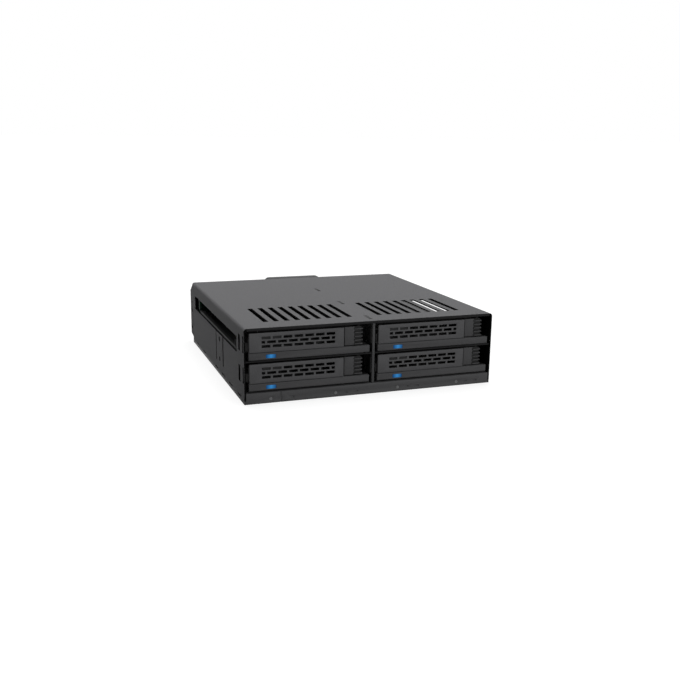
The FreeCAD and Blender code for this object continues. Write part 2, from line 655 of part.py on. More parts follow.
def make_rear_panel():
    """Rear panel with the fan opening, its screw holes and an opening round each port."""
    wall = block(-INNER_HALF, INNER_HALF, PANEL_FRONT, CAGE_DEPTH, SHEET, UNDER_COVER)
    along = FreeCAD.Vector(0, 1, 0)
    wall = wall.makeFillet(BEND_RADIUS, edges_along(wall, along, lambda c: c.z > UNDER_COVER - SHEET))
    reach = PANEL_FRONT - PANEL_FLANGE_DEPTH
    half = INNER_HALF - PANEL_FLANGE_INSET
    foot = block(-half, half, reach, CAGE_DEPTH, SHEET, 2 * SHEET)
    head = block(-half, half, reach, CAGE_DEPTH, UNDER_COVER - SHEET, UNDER_COVER)
    panel = joined([wall, foot, head])
    y0 = PANEL_FRONT - PAST
    y1 = CAGE_DEPTH + PAST
    cuts = [rod_y(FAN_DUCT_RADIUS, 0, FAN_CENTRE_Z, y0, y1)]
    for x, z in fan_hole_places():
        cuts.append(faceted_y(FAN_SCREW_RADIUS + SCREW_CLEARANCE, x, z, y0, y1))
    sizes = [(PORT_WIDTH, PORT_PLACES), (POWER_WIDTH, POWER_PLACES)]
    for width, places in sizes:
        for x, z in places:
            half_x = width / 2 + PANEL_PORT_MARGIN
            half_z = PORT_HEIGHT / 2 + PANEL_PORT_MARGIN
            cuts.append(block(x - half_x, x + half_x, y0, y1, z - half_z, z + half_z))
    middle = (PANEL_GRILLE_COUNT - 1) / 2
    for x, z in POWER_PLACES:
        for i in range(PANEL_GRILLE_COUNT):
            centre = x + (i - middle) * PANEL_GRILLE_PITCH
            x0 = centre - PANEL_GRILLE_WIDTH / 2
            x1 = centre + PANEL_GRILLE_WIDTH / 2
            high = PANEL_GRILLE_LOW + PANEL_GRILLE_HEIGHT
            cuts.append(block(x0, x1, y0, y1, PANEL_GRILLE_LOW, high))
    for x, z in STANDOFF_PLACES:
        cuts.append(faceted_y(SMALL_SCREW_RADIUS + SCREW_CLEARANCE, x, z, y0, y1))
    return panel.cut(cuts)


# Status strip along the bottom of the front

def make_front_strip():
    """Moulded channel in front of the pan, with a hole for each status lens."""
    half = INNER_HALF - STRIP_END_GAP
    pieces = [
        block(-half, half, 0, STRIP_WALL, 0, STRIP_HEIGHT),
        block(-half, half, 0, STRIP_REACH, STRIP_HEIGHT - STRIP_LEDGE, STRIP_HEIGHT),
        block(-half, half, 0, STRIP_REACH, SHEET, SHEET + STRIP_LOW_LEDGE),
    ]
    cuts = []
    for x in STATUS_PLACES:
        hole = STATUS_LENS_RADIUS + LENS_CLEARANCE
        cuts.append(faceted_y(hole, x, STATUS_Z, -PAST, STRIP_WALL + PAST))
        for offset in STATUS_MARK_OFFSETS:
            x0 = x + offset - STATUS_MARK_WIDTH / 2
            z0 = STATUS_Z - STATUS_MARK_HEIGHT / 2
            x1 = x0 + STATUS_MARK_WIDTH
            cuts.append(block(x0, x1, -PAST, STRIP_MARK_DEPTH, z0, z0 + STATUS_MARK_HEIGHT))
    seam = -HALF_WIDTH + STRIP_SEAM_INSET
    x0 = seam - STRIP_SEAM_WIDTH / 2
    x1 = seam + STRIP_SEAM_WIDTH / 2
    cuts.append(block(x0, x1, -PAST, STRIP_MARK_DEPTH, -PAST, STRIP_HEIGHT + PAST))
    return joined(pieces).cut(cuts)


def make_status_lenses():
    """Small round lens in each hole of the strip."""
    size = (STATUS_LENS_RADIUS, STATUS_LENS_LENGTH)
    return Part.makeCompound([faceted_y(size[0], x, STATUS_Z, 0, size[1]) for x in STATUS_PLACES])


def make_status_board():
    """Narrow circuit board in the strip with a light behind each lens."""
    front = STATUS_LENS_LENGTH + STATUS_LED_DEPTH + LENS_CLEARANCE
    rear = front + STATUS_BOARD_THICKNESS
    low = SHEET + STRIP_LOW_LEDGE
    high = STRIP_HEIGHT - STRIP_LEDGE
    half = INNER_HALF - STATUS_BOARD_INSET
    pieces = [block(-half, half, front, rear, low, high)]
    for x in STATUS_PLACES:
        half_led = STATUS_LED_HALF
        y0 = STATUS_LENS_LENGTH + LENS_CLEARANCE
        z0 = STATUS_Z - half_led
        pieces.append(block(x - half_led, x + half_led, y0, front, z0, STATUS_Z + half_led))
    return joined(pieces)


# Trays. Each tray piece is drawn about its own corner: u runs across from the
# left edge of the bezel, y from the front face, and z from the underside.

def rail(outer, inner):
    """Folded side rail: an upturned channel that the edge of a drive rests on."""
    u0, u1 = sorted((outer, inner))
    top = RAIL_HEIGHT - RAIL_SHEET
    return [
        block(u0, u0 + RAIL_SHEET, RAIL_FRONT, SLED_REAR, 0, RAIL_HEIGHT),
        block(u0, u1, RAIL_FRONT, SLED_REAR, top, RAIL_HEIGHT),
        block(u1 - RAIL_SHEET, u1, RAIL_FRONT, SLED_REAR, 0, RAIL_HEIGHT),
    ]


def make_sled():
    """Sheet sled of a tray: a pierced floor between two folded rails."""
    left = -SLED_EDGE
    right = BEZEL_WIDTH + SLED_EDGE
    floor_left = left + RAIL_WIDTH - RAIL_SHEET
    floor_right = right - RAIL_WIDTH + RAIL_SHEET
    pieces = [
        block(left, right, SLED_FRONT, RAIL_FRONT, 0, SLED_FLOOR),
        block(floor_left, floor_right, SLED_FRONT, SLED_REAR, 0, SLED_FLOOR),
    ]
    pieces += rail(left, left + RAIL_WIDTH)
    pieces += rail(right, right - RAIL_WIDTH)
    stop_rear = SLED_STOP_Y + SLED_STOP_THICKNESS
    pieces.append(block(left, right, SLED_STOP_Y, stop_rear, 0, SLED_STOP_HEIGHT))
    for u, y in drive_hole_places():
        pieces.append(faceted_z(DRIVE_BOSS_RADIUS, u, y, 0, RAIL_HEIGHT))
    cuts = []
    centre = BEZEL_WIDTH / 2
    middle = (SLED_SLOT_COLUMNS - 1) / 2
    pitch_y = (SLED_REAR - SLED_SLOT_REAR_MARGIN - SLED_SLOT_FIRST_Y) / (SLED_SLOT_ROWS - 1)
    for i in range(SLED_SLOT_COLUMNS):
        for j in range(SLED_SLOT_ROWS):
            u = centre + (i - middle) * SLED_SLOT_PITCH_X
            y = SLED_SLOT_FIRST_Y + j * pitch_y
            half_u = SLED_SLOT_WIDTH / 2
            half_y = SLED_SLOT_LENGTH / 2
            slot = block(u - half_u, u + half_u, y - half_y, y + half_y, -PAST, SLED_FLOOR + PAST)
            cuts.append(slot)
    for u, y in drive_hole_places():
        cuts.append(rod_z(DRIVE_HOLE_RADIUS, u, y, -PAST, RAIL_HEIGHT + PAST))
    for u in TRAY_SCREW_PLACES:
        hole = TRAY_SCREW_RADIUS + SCREW_CLEARANCE
        cuts.append(faceted_z(hole, u, TRAY_SCREW_Y, 0, SLED_FLOOR + PAST))
        seat = TRAY_SCREW_HEAD_RADIUS + SCREW_CLEARANCE
        cuts.append(faceted_z(seat, u, TRAY_SCREW_Y, -PAST, TRAY_SCREW_HEAD))
    return joined(pieces).cut(cuts)


def drive_hole_places():
    """Places of the four holes that take the screws of a 2.5 inch drive."""
    centre = BEZEL_WIDTH / 2
    rear = SLED_REAR - DRIVE_END_GAP - DRIVE_HOLE_REAR
    half = DRIVE_HOLE_SPACING_X / 2
    return [(centre + s * half, rear - k * DRIVE_HOLE_SPACING_Y) for s in (-1, 1) for k in (0, 1)]


def make_bezel():
    """Moulded front of a tray: a strip, the wall behind the lever and the hinge lug."""
    strip = block(0, BEZEL_WIDTH, 0, BEZEL_STRIP_DEPTH, 0, BEZEL_STRIP_HEIGHT)
    across = FreeCAD.Vector(1, 0, 0)
    edge = edges_along(strip, across, lambda c: c.y < 0.01 and c.z < 0.01)
    strip = strip.makeChamfer(BEZEL_BEVEL, edge)
    base = block(0, BEZEL_WIDTH, BEZEL_STRIP_DEPTH, BEZEL_BASE_REAR, SLED_FLOOR, BEZEL_STRIP_HEIGHT)
    back_rear = BEZEL_BACK_REAR
    back_left = BEZEL_BACK_LEFT
    back_right = BEZEL_WIDTH - BEZEL_BACK_RIGHT_INSET
    back_top = BEZEL_HEIGHT + BEZEL_BACK_RISE
    back = block(back_left, back_right, BEZEL_BACK_Y, back_rear, BEZEL_STRIP_HEIGHT, back_top)
    lug_low = KNUCKLE_TOP + LUG_GAP
    lug_high = lug_low + LUG_HEIGHT
    lug = rod_z(LUG_RADIUS, PIN_INSET, PIN_INSET, lug_low, lug_high)
    u0 = PIN_INSET - LUG_RADIUS
    u1 = PIN_INSET + LUG_RADIUS
    arm = block(u0, u1, PIN_INSET, back_rear, lug_low, lug_high)
    link = block(u0, back_left, BEZEL_BACK_Y, back_rear, lug_low, lug_high)
    bezel = joined([strip, base, back, lug, arm, link])
    cuts = [latch_window()]
    for i in range(VENT_COLUMNS):
        u = VENT_LEFT + i * VENT_PITCH
        y0 = BEZEL_BACK_Y - PAST
        high = BEZEL_HEIGHT - GRILLE_WINDOW_DROP
        cuts.append(block(u, u + VENT_LENGTH, y0, back_rear + PAST, GRILLE_WINDOW_LOW, high))
    bore = PIN_RADIUS + PIN_BEZEL_CLEARANCE
    cuts.append(rod_z(bore, PIN_INSET, PIN_INSET, PIN_FOOT, BEZEL_HEIGHT))
    cuts.append(light_block(LENS_CLEARANCE, PAST))
    for u in TRAY_SCREW_PLACES:
        hole = TRAY_SCREW_RADIUS + SCREW_CLEARANCE
        high = TRAY_SCREW_REACH + SCREW_CLEARANCE
        cuts.append(faceted_z(hole, u, TRAY_SCREW_Y, 0, high))
    return bezel.cut(cuts)


def latch_window():
    """Window in the back wall of the bezel that the tooth of the latch passes through."""
    left = LATCH_STEM_LEFT - LATCH_TRAVEL - 2 * LATCH_CLEARANCE
    right = LATCH_STEM_RIGHT + LATCH_NOSE_REACH + LATCH_WINDOW_SIDE
    half = LATCH_TOOTH_HEIGHT / 2 + LATCH_WINDOW_RISE
    y0 = BEZEL_BACK_Y - PAST
    return block(left, right, y0, BEZEL_BACK_REAR + PAST, LEVER_MIDDLE - half, LEVER_MIDDLE + half)


def light_block(grow, past):
    """Bar of the light lens, or with growth the blind hole that it sits in."""
    half = LIGHT_WIDTH / 2 + grow
    low = LIGHT_Z - LIGHT_HEIGHT / 2 - grow
    high = LIGHT_Z + LIGHT_HEIGHT / 2 + grow
    return block(LIGHT_CENTRE - half, LIGHT_CENTRE + half, -past, LIGHT_LENGTH + grow, low, high)


def make_tray_screws():
    """Two small screws up through the sled into the bezel."""
    screws = []
    for u in TRAY_SCREW_PLACES:
        head = faceted_z(TRAY_SCREW_HEAD_RADIUS, u, TRAY_SCREW_Y, 0, TRAY_SCREW_HEAD)
        shank = faceted_z(TRAY_SCREW_RADIUS, u, TRAY_SCREW_Y, 0, TRAY_SCREW_REACH)
        screws.append(joined([head, shank]))
    return Part.makeCompound(screws)


def make_hinge_pin():
    """Upright pin that the lever turns on."""
    top = KNUCKLE_TOP + LUG_GAP + LUG_HEIGHT
    return rod_z(PIN_RADIUS, PIN_INSET, PIN_INSET, PIN_FOOT, top)


def vent_slots():
    """Slots of the vent courses; every second course is offset by half a slot."""
    end = VENT_LEFT + (VENT_COLUMNS - 1) * VENT_PITCH + VENT_LENGTH
    slots = []
    for course in range(VENT_COURSES):
        z = VENT_FIRST_Z + course * VENT_COURSE_PITCH
        offset = course % 2
        for i in range(VENT_COLUMNS + offset):
            start = VENT_LEFT + (i - offset / 2) * VENT_PITCH
            u0 = max(VENT_LEFT, start)
            u1 = min(end, start + VENT_LENGTH)
            blind = course == VENT_COURSES - 1 and i < VENT_BLIND_COUNT
            depth = VENT_BLIND_DEPTH if blind else LEVER_SKIN + PAST
            slots.append(block(u0, u1, -PAST, depth, z - VENT_HEIGHT / 2, z + VENT_HEIGHT / 2))
    return slots


def make_lever():
    """Vented swing lever with its knuckle, cam hook and the housing of the latch."""
    face = block(0, HOUSING_WALL_RIGHT, 0, LEVER_SKIN, LEVER_LOW, BEZEL_HEIGHT)
    upright = FreeCAD.Vector(0, 0, 1)
    corner = edges_along(face, upright, lambda c: c.x < 0.01 and c.y < 0.01)
    face = face.makeFillet(LEVER_CORNER, corner)
    lip_depth = LATCH_RECESS - LATCH_SKIN_CLEARANCE
    left = HOUSING_WALL_LEFT
    right = HOUSING_WALL_RIGHT
    lip = block(right, LATCH_SEAM, 0, lip_depth, LEVER_LOW, BEZEL_HEIGHT)
    wall = block(left, right, 0, HOUSING_REAR, LEVER_LOW, BEZEL_HEIGHT)
    back = block(left, HOUSING_BACK_RIGHT, HOUSING_BACK_Y, HOUSING_REAR, LEVER_LOW, BEZEL_HEIGHT)
    pieces = [face, lip, wall, back]
    rib_left = PIN_INSET + LUG_RADIUS + LEVER_RIB
    for z0 in (LEVER_LOW, BEZEL_HEIGHT - LEVER_RIB):
        rib_z = (z0, z0 + LEVER_RIB)
        pieces.append(block(rib_left, left, 0, LEVER_RIB_DEPTH, *rib_z))
        rail_y = LATCH_BODY_Y + LATCH_CLEARANCE
        pieces.append(block(right, HOUSING_BACK_RIGHT, rail_y, HOUSING_REAR, *rib_z))
    pieces.append(rod_z(KNUCKLE_RADIUS, PIN_INSET, PIN_INSET, LEVER_LOW, KNUCKLE_TOP))
    u0 = PIN_INSET - KNUCKLE_RADIUS
    u1 = PIN_INSET + KNUCKLE_RADIUS
    pieces.append(block(u0, u1, LEVER_SKIN / 2, PIN_INSET, LEVER_LOW, KNUCKLE_TOP))
    hook_high = KNUCKLE_TOP - HOOK_DROP
    nose = block(PIN_INSET - HOOK_REACH, PIN_INSET, HOOK_FRONT, HOOK_REAR, HOOK_LOW, hook_high)
    sweep = rod_z(HOOK_REACH, PIN_INSET, PIN_INSET, HOOK_LOW, hook_high)
    pieces.append(nose.common(sweep))
    bore = rod_z(PIN_RADIUS + PIN_LEVER_CLEARANCE, PIN_INSET, PIN_INSET, 0, KNUCKLE_TOP + LUG_GAP)
    return joined(pieces).cut([bore] + vent_slots())


def make_latch():
    """Sliding latch with grip ribs on its face and a hooked tooth behind it."""
    foot = LEVER_LOW + LATCH_FOOT_GAP
    skin = block(LATCH_LEFT, LATCH_RIGHT, LATCH_RECESS, LATCH_BODY_Y, foot, BEZEL_HEIGHT)
    low = LEVER_LOW + LATCH_BODY_INSET
    high = BEZEL_HEIGHT - LATCH_BODY_INSET
    core = block(LATCH_BODY_LEFT, LATCH_RIGHT, LATCH_RECESS, LATCH_BODY_REAR, low, high)
    half = LATCH_TOOTH_HEIGHT / 2
    tooth_z = (LEVER_MIDDLE - half, LEVER_MIDDLE + half)
    nose_front = BEZEL_BACK_REAR + LATCH_CLEARANCE
    nose_rear = nose_front + LATCH_NOSE_THICKNESS
    nose_right = LATCH_STEM_RIGHT + LATCH_NOSE_REACH
    stem = block(LATCH_STEM_LEFT, LATCH_STEM_RIGHT, LATCH_BODY_Y, nose_rear, *tooth_z)
    nose = block(LATCH_STEM_LEFT, nose_right, nose_front, nose_rear, *tooth_z)
    pieces = [skin, core, stem, nose]
    middle = (LATCH_RIB_COUNT - 1) / 2
    for i in range(LATCH_RIB_COUNT):
        z = LEVER_MIDDLE + (i - middle) * LATCH_RIB_PITCH
        u1 = LATCH_RIGHT + LATCH_RIB_OVERHANG
        u0 = u1 - LATCH_RIB_LENGTH
        y0 = LATCH_RECESS - LATCH_RIB_PROUD
        z0 = z - LATCH_RIB_HEIGHT / 2
        pieces.append(block(u0, u1, y0, LATCH_BODY_Y, z0, z0 + LATCH_RIB_HEIGHT))
    groove_rear = LATCH_RECESS + LATCH_GROOVE_DEPTH
    groove_right = LATCH_SEAM + LATCH_GROOVE_WIDTH
    groove = block(LATCH_SEAM, groove_right, 0, groove_rear, LEVER_LOW - PAST, BEZEL_HEIGHT + PAST)
    return joined(pieces).cut(groove)


def make_latch_spring():
    """Small coil spring of square wire between the housing wall and the latch."""
    half = SPRING_WIRE / 2
    end_gap = LENS_CLEARANCE + half
    length = LATCH_BODY_LEFT - HOUSING_WALL_RIGHT - 2 * end_gap
    pitch = length / SPRING_TURNS
    coil = Part.makeHelix(pitch, length, SPRING_RADIUS)
    start = FreeCAD.Vector(SPRING_RADIUS, 0, 0)
    across = FreeCAD.Vector(half, 0, 0)
    tangent = FreeCAD.Vector(0, SPRING_RADIUS, pitch / (2 * math.pi)).normalize()
    along = tangent.cross(across)
    signs = ((-1, -1), (1, -1), (1, 1), (-1, 1))
    corners = [start + across * a + along * b for a, b in signs]
    section = Part.makePolygon(corners + corners[:1])
    wire = Part.Wire(coil.Edges).makePipeShell([section], True, True)
    wire.rotate(FreeCAD.Vector(0, 0, 0), FreeCAD.Vector(0, 1, 0), 90)
    middle_y = (LATCH_BODY_Y + HOUSING_BACK_Y) / 2
    wire.translate(FreeCAD.Vector(HOUSING_WALL_RIGHT + end_gap, middle_y, LEVER_MIDDLE))
    return wire


def make_tray(row, column):
    """All pieces of one tray in their place."""
    left = TRAY_COLUMNS[column] - BEZEL_WIDTH / 2
    corner = FreeCAD.Vector(left, 0, TRAY_ROWS[row])
    pieces = {
        "sled": make_sled(),
        "bezel": make_bezel(),
        "tray_screws": make_tray_screws(),
        "hinge_pin": make_hinge_pin(),
        "light_lens": light_block(0, 0),
        "lever": make_lever(),
        "latch": make_latch(),
        "latch_spring": make_latch_spring(),
    }
    for name, shape in pieces.items():
        shape.translate(corner)
        save(name + "_" + row + "_" + column, shape)


# Backplane

def make_board():
    """Backplane board with air slots beside the drive connectors."""
    board = block(-BOARD_HALF, BOARD_HALF, BOARD_FRONT, BOARD_REAR, BOARD_LOW, BOARD_HIGH)
    y0 = BOARD_FRONT - PAST
    y1 = BOARD_REAR + PAST
    cuts = []
    middle = (BOARD_SLOT_COUNT - 1) / 2
    for x in TRAY_COLUMNS.values():
        for z in TRAY_ROWS.values():
            for i in range(BOARD_SLOT_COUNT):
                x0 = x + (i - middle) * BOARD_SLOT_PITCH - BOARD_SLOT_WIDTH / 2
                z0 = z + BOARD_SLOT_LIFT
                x1 = x0 + BOARD_SLOT_WIDTH
                cuts.append(block(x0, x1, y0, y1, z0, z0 + BOARD_SLOT_HEIGHT))
    for x, z in STANDOFF_PLACES:
        cuts.append(faceted_y(SMALL_SCREW_RADIUS + SCREW_CLEARANCE, x, z, y0, y1))
    return board.cut(cuts)


def make_drive_connector(row, column):
    """Receptacle on the board that the contacts of a drive slide into."""
    x = TRAY_COLUMNS[column] + CONNECTOR_OFFSET
    low = TRAY_ROWS[row] + CONNECTOR_LIFT
    front = CONNECTOR_FRONT
    half = CONNECTOR_WIDTH / 2
    body = block(x - half, x + half, front, BOARD_FRONT, low, low + CONNECTOR_HEIGHT)
    slot_half = CONNECTOR_SLOT_WIDTH / 2
    z0 = low + (CONNECTOR_HEIGHT - CONNECTOR_SLOT_HEIGHT) / 2
    z1 = z0 + CONNECTOR_SLOT_HEIGHT
    slot_rear = front + CONNECTOR_SLOT_DEPTH
    slot = block(x - slot_half, x + slot_half, front - PAST, slot_rear, z0, z1)
    rib_left = x - CONNECTOR_RIB_X
    rib = block(rib_left, rib_left + CONNECTOR_RIB_WIDTH, front, BOARD_FRONT, z0, z1)
    return body.cut(slot).fuse(rib).removeSplitter()


def make_port(x, z, width, blade_width):
    """Plug with a keyed blade between two guide posts, facing the rear."""
    low = z - PORT_HEIGHT / 2
    high = z + PORT_HEIGHT / 2
    base_rear = BOARD_REAR + PORT_BASE
    rear = BOARD_REAR + PORT_REACH
    half = width / 2
    blade_half = blade_width / 2
    blade_low = z - PORT_BLADE_THICKNESS / 2
    blade_high = z + PORT_BLADE_THICKNESS / 2
    pieces = [
        block(x - half, x + half, BOARD_REAR, base_rear, low, high),
        block(x - blade_half, x + blade_half, BOARD_REAR, rear, blade_low, blade_high),
        block(
            x + blade_half - PORT_BLADE_THICKNESS,
            x + blade_half,
            BOARD_REAR,
            rear,
            blade_low,
            blade_high + PORT_KEY - PORT_BLADE_THICKNESS,
        ),
    ]
    for side in (-1, 1):
        x0, x1 = sorted((x + side * half, x + side * (half - PORT_POST)))
        pieces.append(block(x0, x1, BOARD_REAR, rear, low, high))
    return joined(pieces)


def make_standoffs():
    """Four tapped hexagonal spacers that hold the board off the rear panel."""
    spacers = []
    for x, z in STANDOFF_PLACES:
        outer = faceted_y(STANDOFF_RADIUS, x, z, BOARD_REAR, PANEL_FRONT, STANDOFF_SIDES)
        bore = faceted_y(STANDOFF_HOLE_RADIUS, x, z, BOARD_REAR - PAST, PANEL_FRONT + PAST)
        spacers.append(outer.cut(bore))
    return Part.makeCompound(spacers)


def small_screw(x, z, seat, direction):
    """Pan-head screw whose head lies on a face and whose shank runs the other way."""
    head_y = seat + direction * SMALL_SCREW_HEAD
    tip = seat - direction * SMALL_SCREW_REACH
    head = faceted_y(SMALL_SCREW_HEAD_RADIUS, x, z, min(seat, head_y), max(seat, head_y))
    shank = faceted_y(SMALL_SCREW_RADIUS, x, z, min(seat, tip), max(seat, tip))
    slot_y = head_y - direction * SMALL_SCREW_HEAD / 2
    half = SMALL_SCREW_SLOT / 2
    wide = SMALL_SCREW_HEAD_RADIUS + PAST
    y0, y1 = sorted((slot_y, head_y + direction * PAST))
    slot = block(x - wide, x + wide, y0, y1, z - half, z + half)
    return joined([head, shank]).cut(slot)


# Fan

def fan_hole_places():
    """Corners of the fan's screw pattern."""
    half = FAN_HOLE_SPACING / 2
    return [(sx * half, FAN_CENTRE_Z + sz * half) for sx in (-1, 1) for sz in (-1, 1)]


def make_fan_frame():
    """Square fan frame with a round duct, and the motor seat on its struts."""
    half = FAN_SIZE / 2
    low = FAN_CENTRE_Z - half
    high = FAN_CENTRE_Z + half
    frame = block(-half, half, CAGE_DEPTH, FAN_REAR, low, high)
    along = FreeCAD.Vector(0, 1, 0)
    frame = frame.makeFillet(FAN_CORNER, edges_along(frame, along, lambda c: True))
    duct = rod_y(FAN_DUCT_RADIUS, 0, FAN_CENTRE_Z, CAGE_DEPTH - PAST, FAN_REAR + PAST)
    holes = [duct]
    for x, z in fan_hole_places():
        holes.append(rod_y(FAN_HOLE_RADIUS, x, z, CAGE_DEPTH - PAST, FAN_REAR + PAST))
    frame = frame.cut(holes)
    seat_front = FAN_REAR - FAN_STRUT_THICKNESS
    pieces = [frame, rod_y(FAN_HUB_RADIUS, 0, FAN_CENTRE_Z, seat_front, FAN_REAR)]
    for i in range(FAN_STRUT_COUNT):
        strut = block(
            -FAN_STRUT_WIDTH / 2,
            FAN_STRUT_WIDTH / 2,
            seat_front,
            FAN_REAR,
            FAN_CENTRE_Z,
            FAN_CENTRE_Z + FAN_DUCT_RADIUS + FAN_STRUT_WIDTH / 4,
        )
        centre = FreeCAD.Vector(0, 0, FAN_CENTRE_Z)
        strut.rotate(centre, FreeCAD.Vector(0, 1, 0), 45 + i * 360 / FAN_STRUT_COUNT)
        pieces.append(strut)
    bore_radius = FAN_SHAFT_RADIUS + FAN_SHAFT_CLEARANCE
    bore = rod_y(bore_radius, 0, FAN_CENTRE_Z, seat_front - PAST, FAN_REAR + PAST)
    return joined(pieces).cut(bore)


def make_fan_rotor():
    """Fan rotor: a hub with leaning blades whose corners clear the duct, and the shaft."""
    front = CAGE_DEPTH + FAN_ROTOR_FRONT_GAP
    rear = FAN_REAR - FAN_STRUT_THICKNESS - FAN_ROTOR_REAR_GAP
    middle = (front + rear) / 2
    hub = rod_y(FAN_HUB_RADIUS, 0, FAN_CENTRE_Z, front, rear)
    rim = [e for e in hub.Edges if abs(e.CenterOfMass.y - front) < 0.01 and e.Closed]
    hub = hub.makeChamfer(FAN_HUB_BEVEL, rim)
    shaft = rod_y(FAN_SHAFT_RADIUS, 0, FAN_CENTRE_Z, rear - PAST, FAN_REAR - FAN_SHAFT_CLEARANCE)
    centre = FreeCAD.Vector(0, middle, FAN_CENTRE_Z)
    half_chord = FAN_BLADE_CHORD / 2
    half_blade = FAN_BLADE_THICKNESS / 2
    reach = FAN_DUCT_RADIUS - FAN_TIP_CLEARANCE
    tip = FAN_CENTRE_Z + math.sqrt(reach ** 2 - half_chord ** 2)
    y0 = middle - half_blade
    y1 = middle + half_blade
    root = FAN_CENTRE_Z + FAN_HUB_RADIUS - FAN_BLADE_ROOT_DEPTH
    pieces = [hub, shaft]
    for i in range(FAN_BLADE_COUNT):
        blade = block(-half_chord, half_chord, y0, y1, root, tip)
        blade.rotate(centre, FreeCAD.Vector(0, 0, 1), FAN_BLADE_DEGREES)
        blade.rotate(centre, FreeCAD.Vector(0, 1, 0), i * 360 / FAN_BLADE_COUNT)
        pieces.append(blade)
    return joined(pieces)


def make_fan_screws():
    """Four long screws through the fan into the rear panel."""
    screws = []
    tip = PANEL_FRONT - FAN_SCREW_POINT
    for x, z in fan_hole_places():
        head = faceted_y(FAN_SCREW_HEAD_RADIUS, x, z, FAN_REAR, FAN_REAR + FAN_SCREW_HEAD)
        shank = faceted_y(FAN_SCREW_RADIUS, x, z, tip, FAN_REAR)
        half = SMALL_SCREW_SLOT / 2
        wide = FAN_SCREW_HEAD_RADIUS + PAST
        y0 = FAN_REAR + FAN_SCREW_HEAD / 2
        y1 = FAN_REAR + FAN_SCREW_HEAD + PAST
        slot = block(x - wide, x + wide, y0, y1, z - half, z + half)
        screws.append(joined([head, shank]).cut(slot))
    return Part.makeCompound(screws)


def main():
    """Builds every piece of the cage."""
    os.makedirs("parts", exist_ok=True)
    save("top_cover", make_top_cover())
    save("bottom_pan", make_bottom_pan())
    save("front_strip", make_front_strip())
    save("status_lenses", make_status_lenses())
    save("status_board", make_status_board())
    save("centre_divider", make_centre_divider())
    save("shelf_upper", make_shelf(UPPER_TRAY_Z, UPPER_SHELF_FRONT))
    save("shelf_lower", make_shelf(LOWER_TRAY_Z, LOWER_SHELF_FRONT))
    save("rear_panel", make_rear_panel())
    save("backplane_board", make_board())
    save("board_standoffs", make_standoffs())
    board_screws = [small_screw(x, z, BOARD_FRONT, -1) for x, z in STANDOFF_PLACES]
    save("board_screws", Part.makeCompound(board_screws))
    panel_screws = [small_screw(x, z, CAGE_DEPTH, 1) for x, z in STANDOFF_PLACES]
    save("panel_screws", Part.makeCompound(panel_screws))
    for row in TRAY_ROWS:
        for column in TRAY_COLUMNS:
            save("drive_connector_" + row + "_" + column, make_drive_connector(row, column))
            make_tray(row, column)
    for i, (x, z) in enumerate(PORT_PLACES):
        save("data_port_" + str(i + 1), make_port(x, z, PORT_WIDTH, PORT_BLADE_WIDTH))
    for i, (x, z) in enumerate(POWER_PLACES):
        save("power_inlet_" + str(i + 1), make_port(x, z, POWER_WIDTH, POWER_BLADE_WIDTH))
    save("fan_frame", make_fan_frame())
    save("fan_rotor", make_fan_rotor())
    save("fan_screws", make_fan_screws())


main()
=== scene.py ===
# %% [markdown]
# This scene dresses a hot swap drive cage, a steel box that fills one bay of a computer case.
# Four trays slide into it from the front, and each takes one small drive.
# The cage's solids are already made, so the scene starts by loading them as a fixed frame.
# The scene is in metres, with X to the right, Y to the rear and Z up.

# %% Load the frame
import json
import math

import bmesh
import bpy
from mathutils import Matrix, Vector

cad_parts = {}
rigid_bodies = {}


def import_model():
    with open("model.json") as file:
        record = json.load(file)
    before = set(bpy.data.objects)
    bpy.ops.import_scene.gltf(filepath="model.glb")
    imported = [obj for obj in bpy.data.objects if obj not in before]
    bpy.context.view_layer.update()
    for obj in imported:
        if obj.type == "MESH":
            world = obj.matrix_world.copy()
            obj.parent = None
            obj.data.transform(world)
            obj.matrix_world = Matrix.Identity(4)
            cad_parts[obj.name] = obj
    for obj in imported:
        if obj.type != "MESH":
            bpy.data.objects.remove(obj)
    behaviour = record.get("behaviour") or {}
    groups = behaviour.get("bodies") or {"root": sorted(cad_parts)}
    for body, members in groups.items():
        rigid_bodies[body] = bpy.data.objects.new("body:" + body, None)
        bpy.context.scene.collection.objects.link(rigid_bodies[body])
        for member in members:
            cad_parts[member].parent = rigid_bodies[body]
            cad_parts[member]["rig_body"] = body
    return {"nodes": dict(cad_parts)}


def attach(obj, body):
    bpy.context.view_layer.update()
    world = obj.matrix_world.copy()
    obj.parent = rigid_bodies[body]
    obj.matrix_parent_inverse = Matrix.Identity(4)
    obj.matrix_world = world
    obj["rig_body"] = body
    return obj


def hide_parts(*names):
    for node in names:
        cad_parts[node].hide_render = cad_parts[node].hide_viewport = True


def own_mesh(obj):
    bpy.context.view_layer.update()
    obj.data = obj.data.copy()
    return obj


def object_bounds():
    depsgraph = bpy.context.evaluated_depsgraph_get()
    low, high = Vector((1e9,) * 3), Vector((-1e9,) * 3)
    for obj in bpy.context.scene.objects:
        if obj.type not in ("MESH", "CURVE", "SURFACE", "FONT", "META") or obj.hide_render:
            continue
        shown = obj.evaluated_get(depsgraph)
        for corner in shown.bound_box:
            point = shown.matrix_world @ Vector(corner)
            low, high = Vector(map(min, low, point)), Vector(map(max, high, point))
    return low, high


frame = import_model()
cad_low, cad_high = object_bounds()
print("cage size in mm:", [round(v * 1000, 1) for v in cad_high - cad_low])

# %% [markdown]
# Sizes on the drawing of the cage are in millimetres and are counted from its front face.
# One small function turns such a place into metres about the cage's own origin.
# That keeps the numbers below the same as the ones that a maker would read with a ruler.
# The four trays are alike, so a place on one is counted from the corner of its own front.

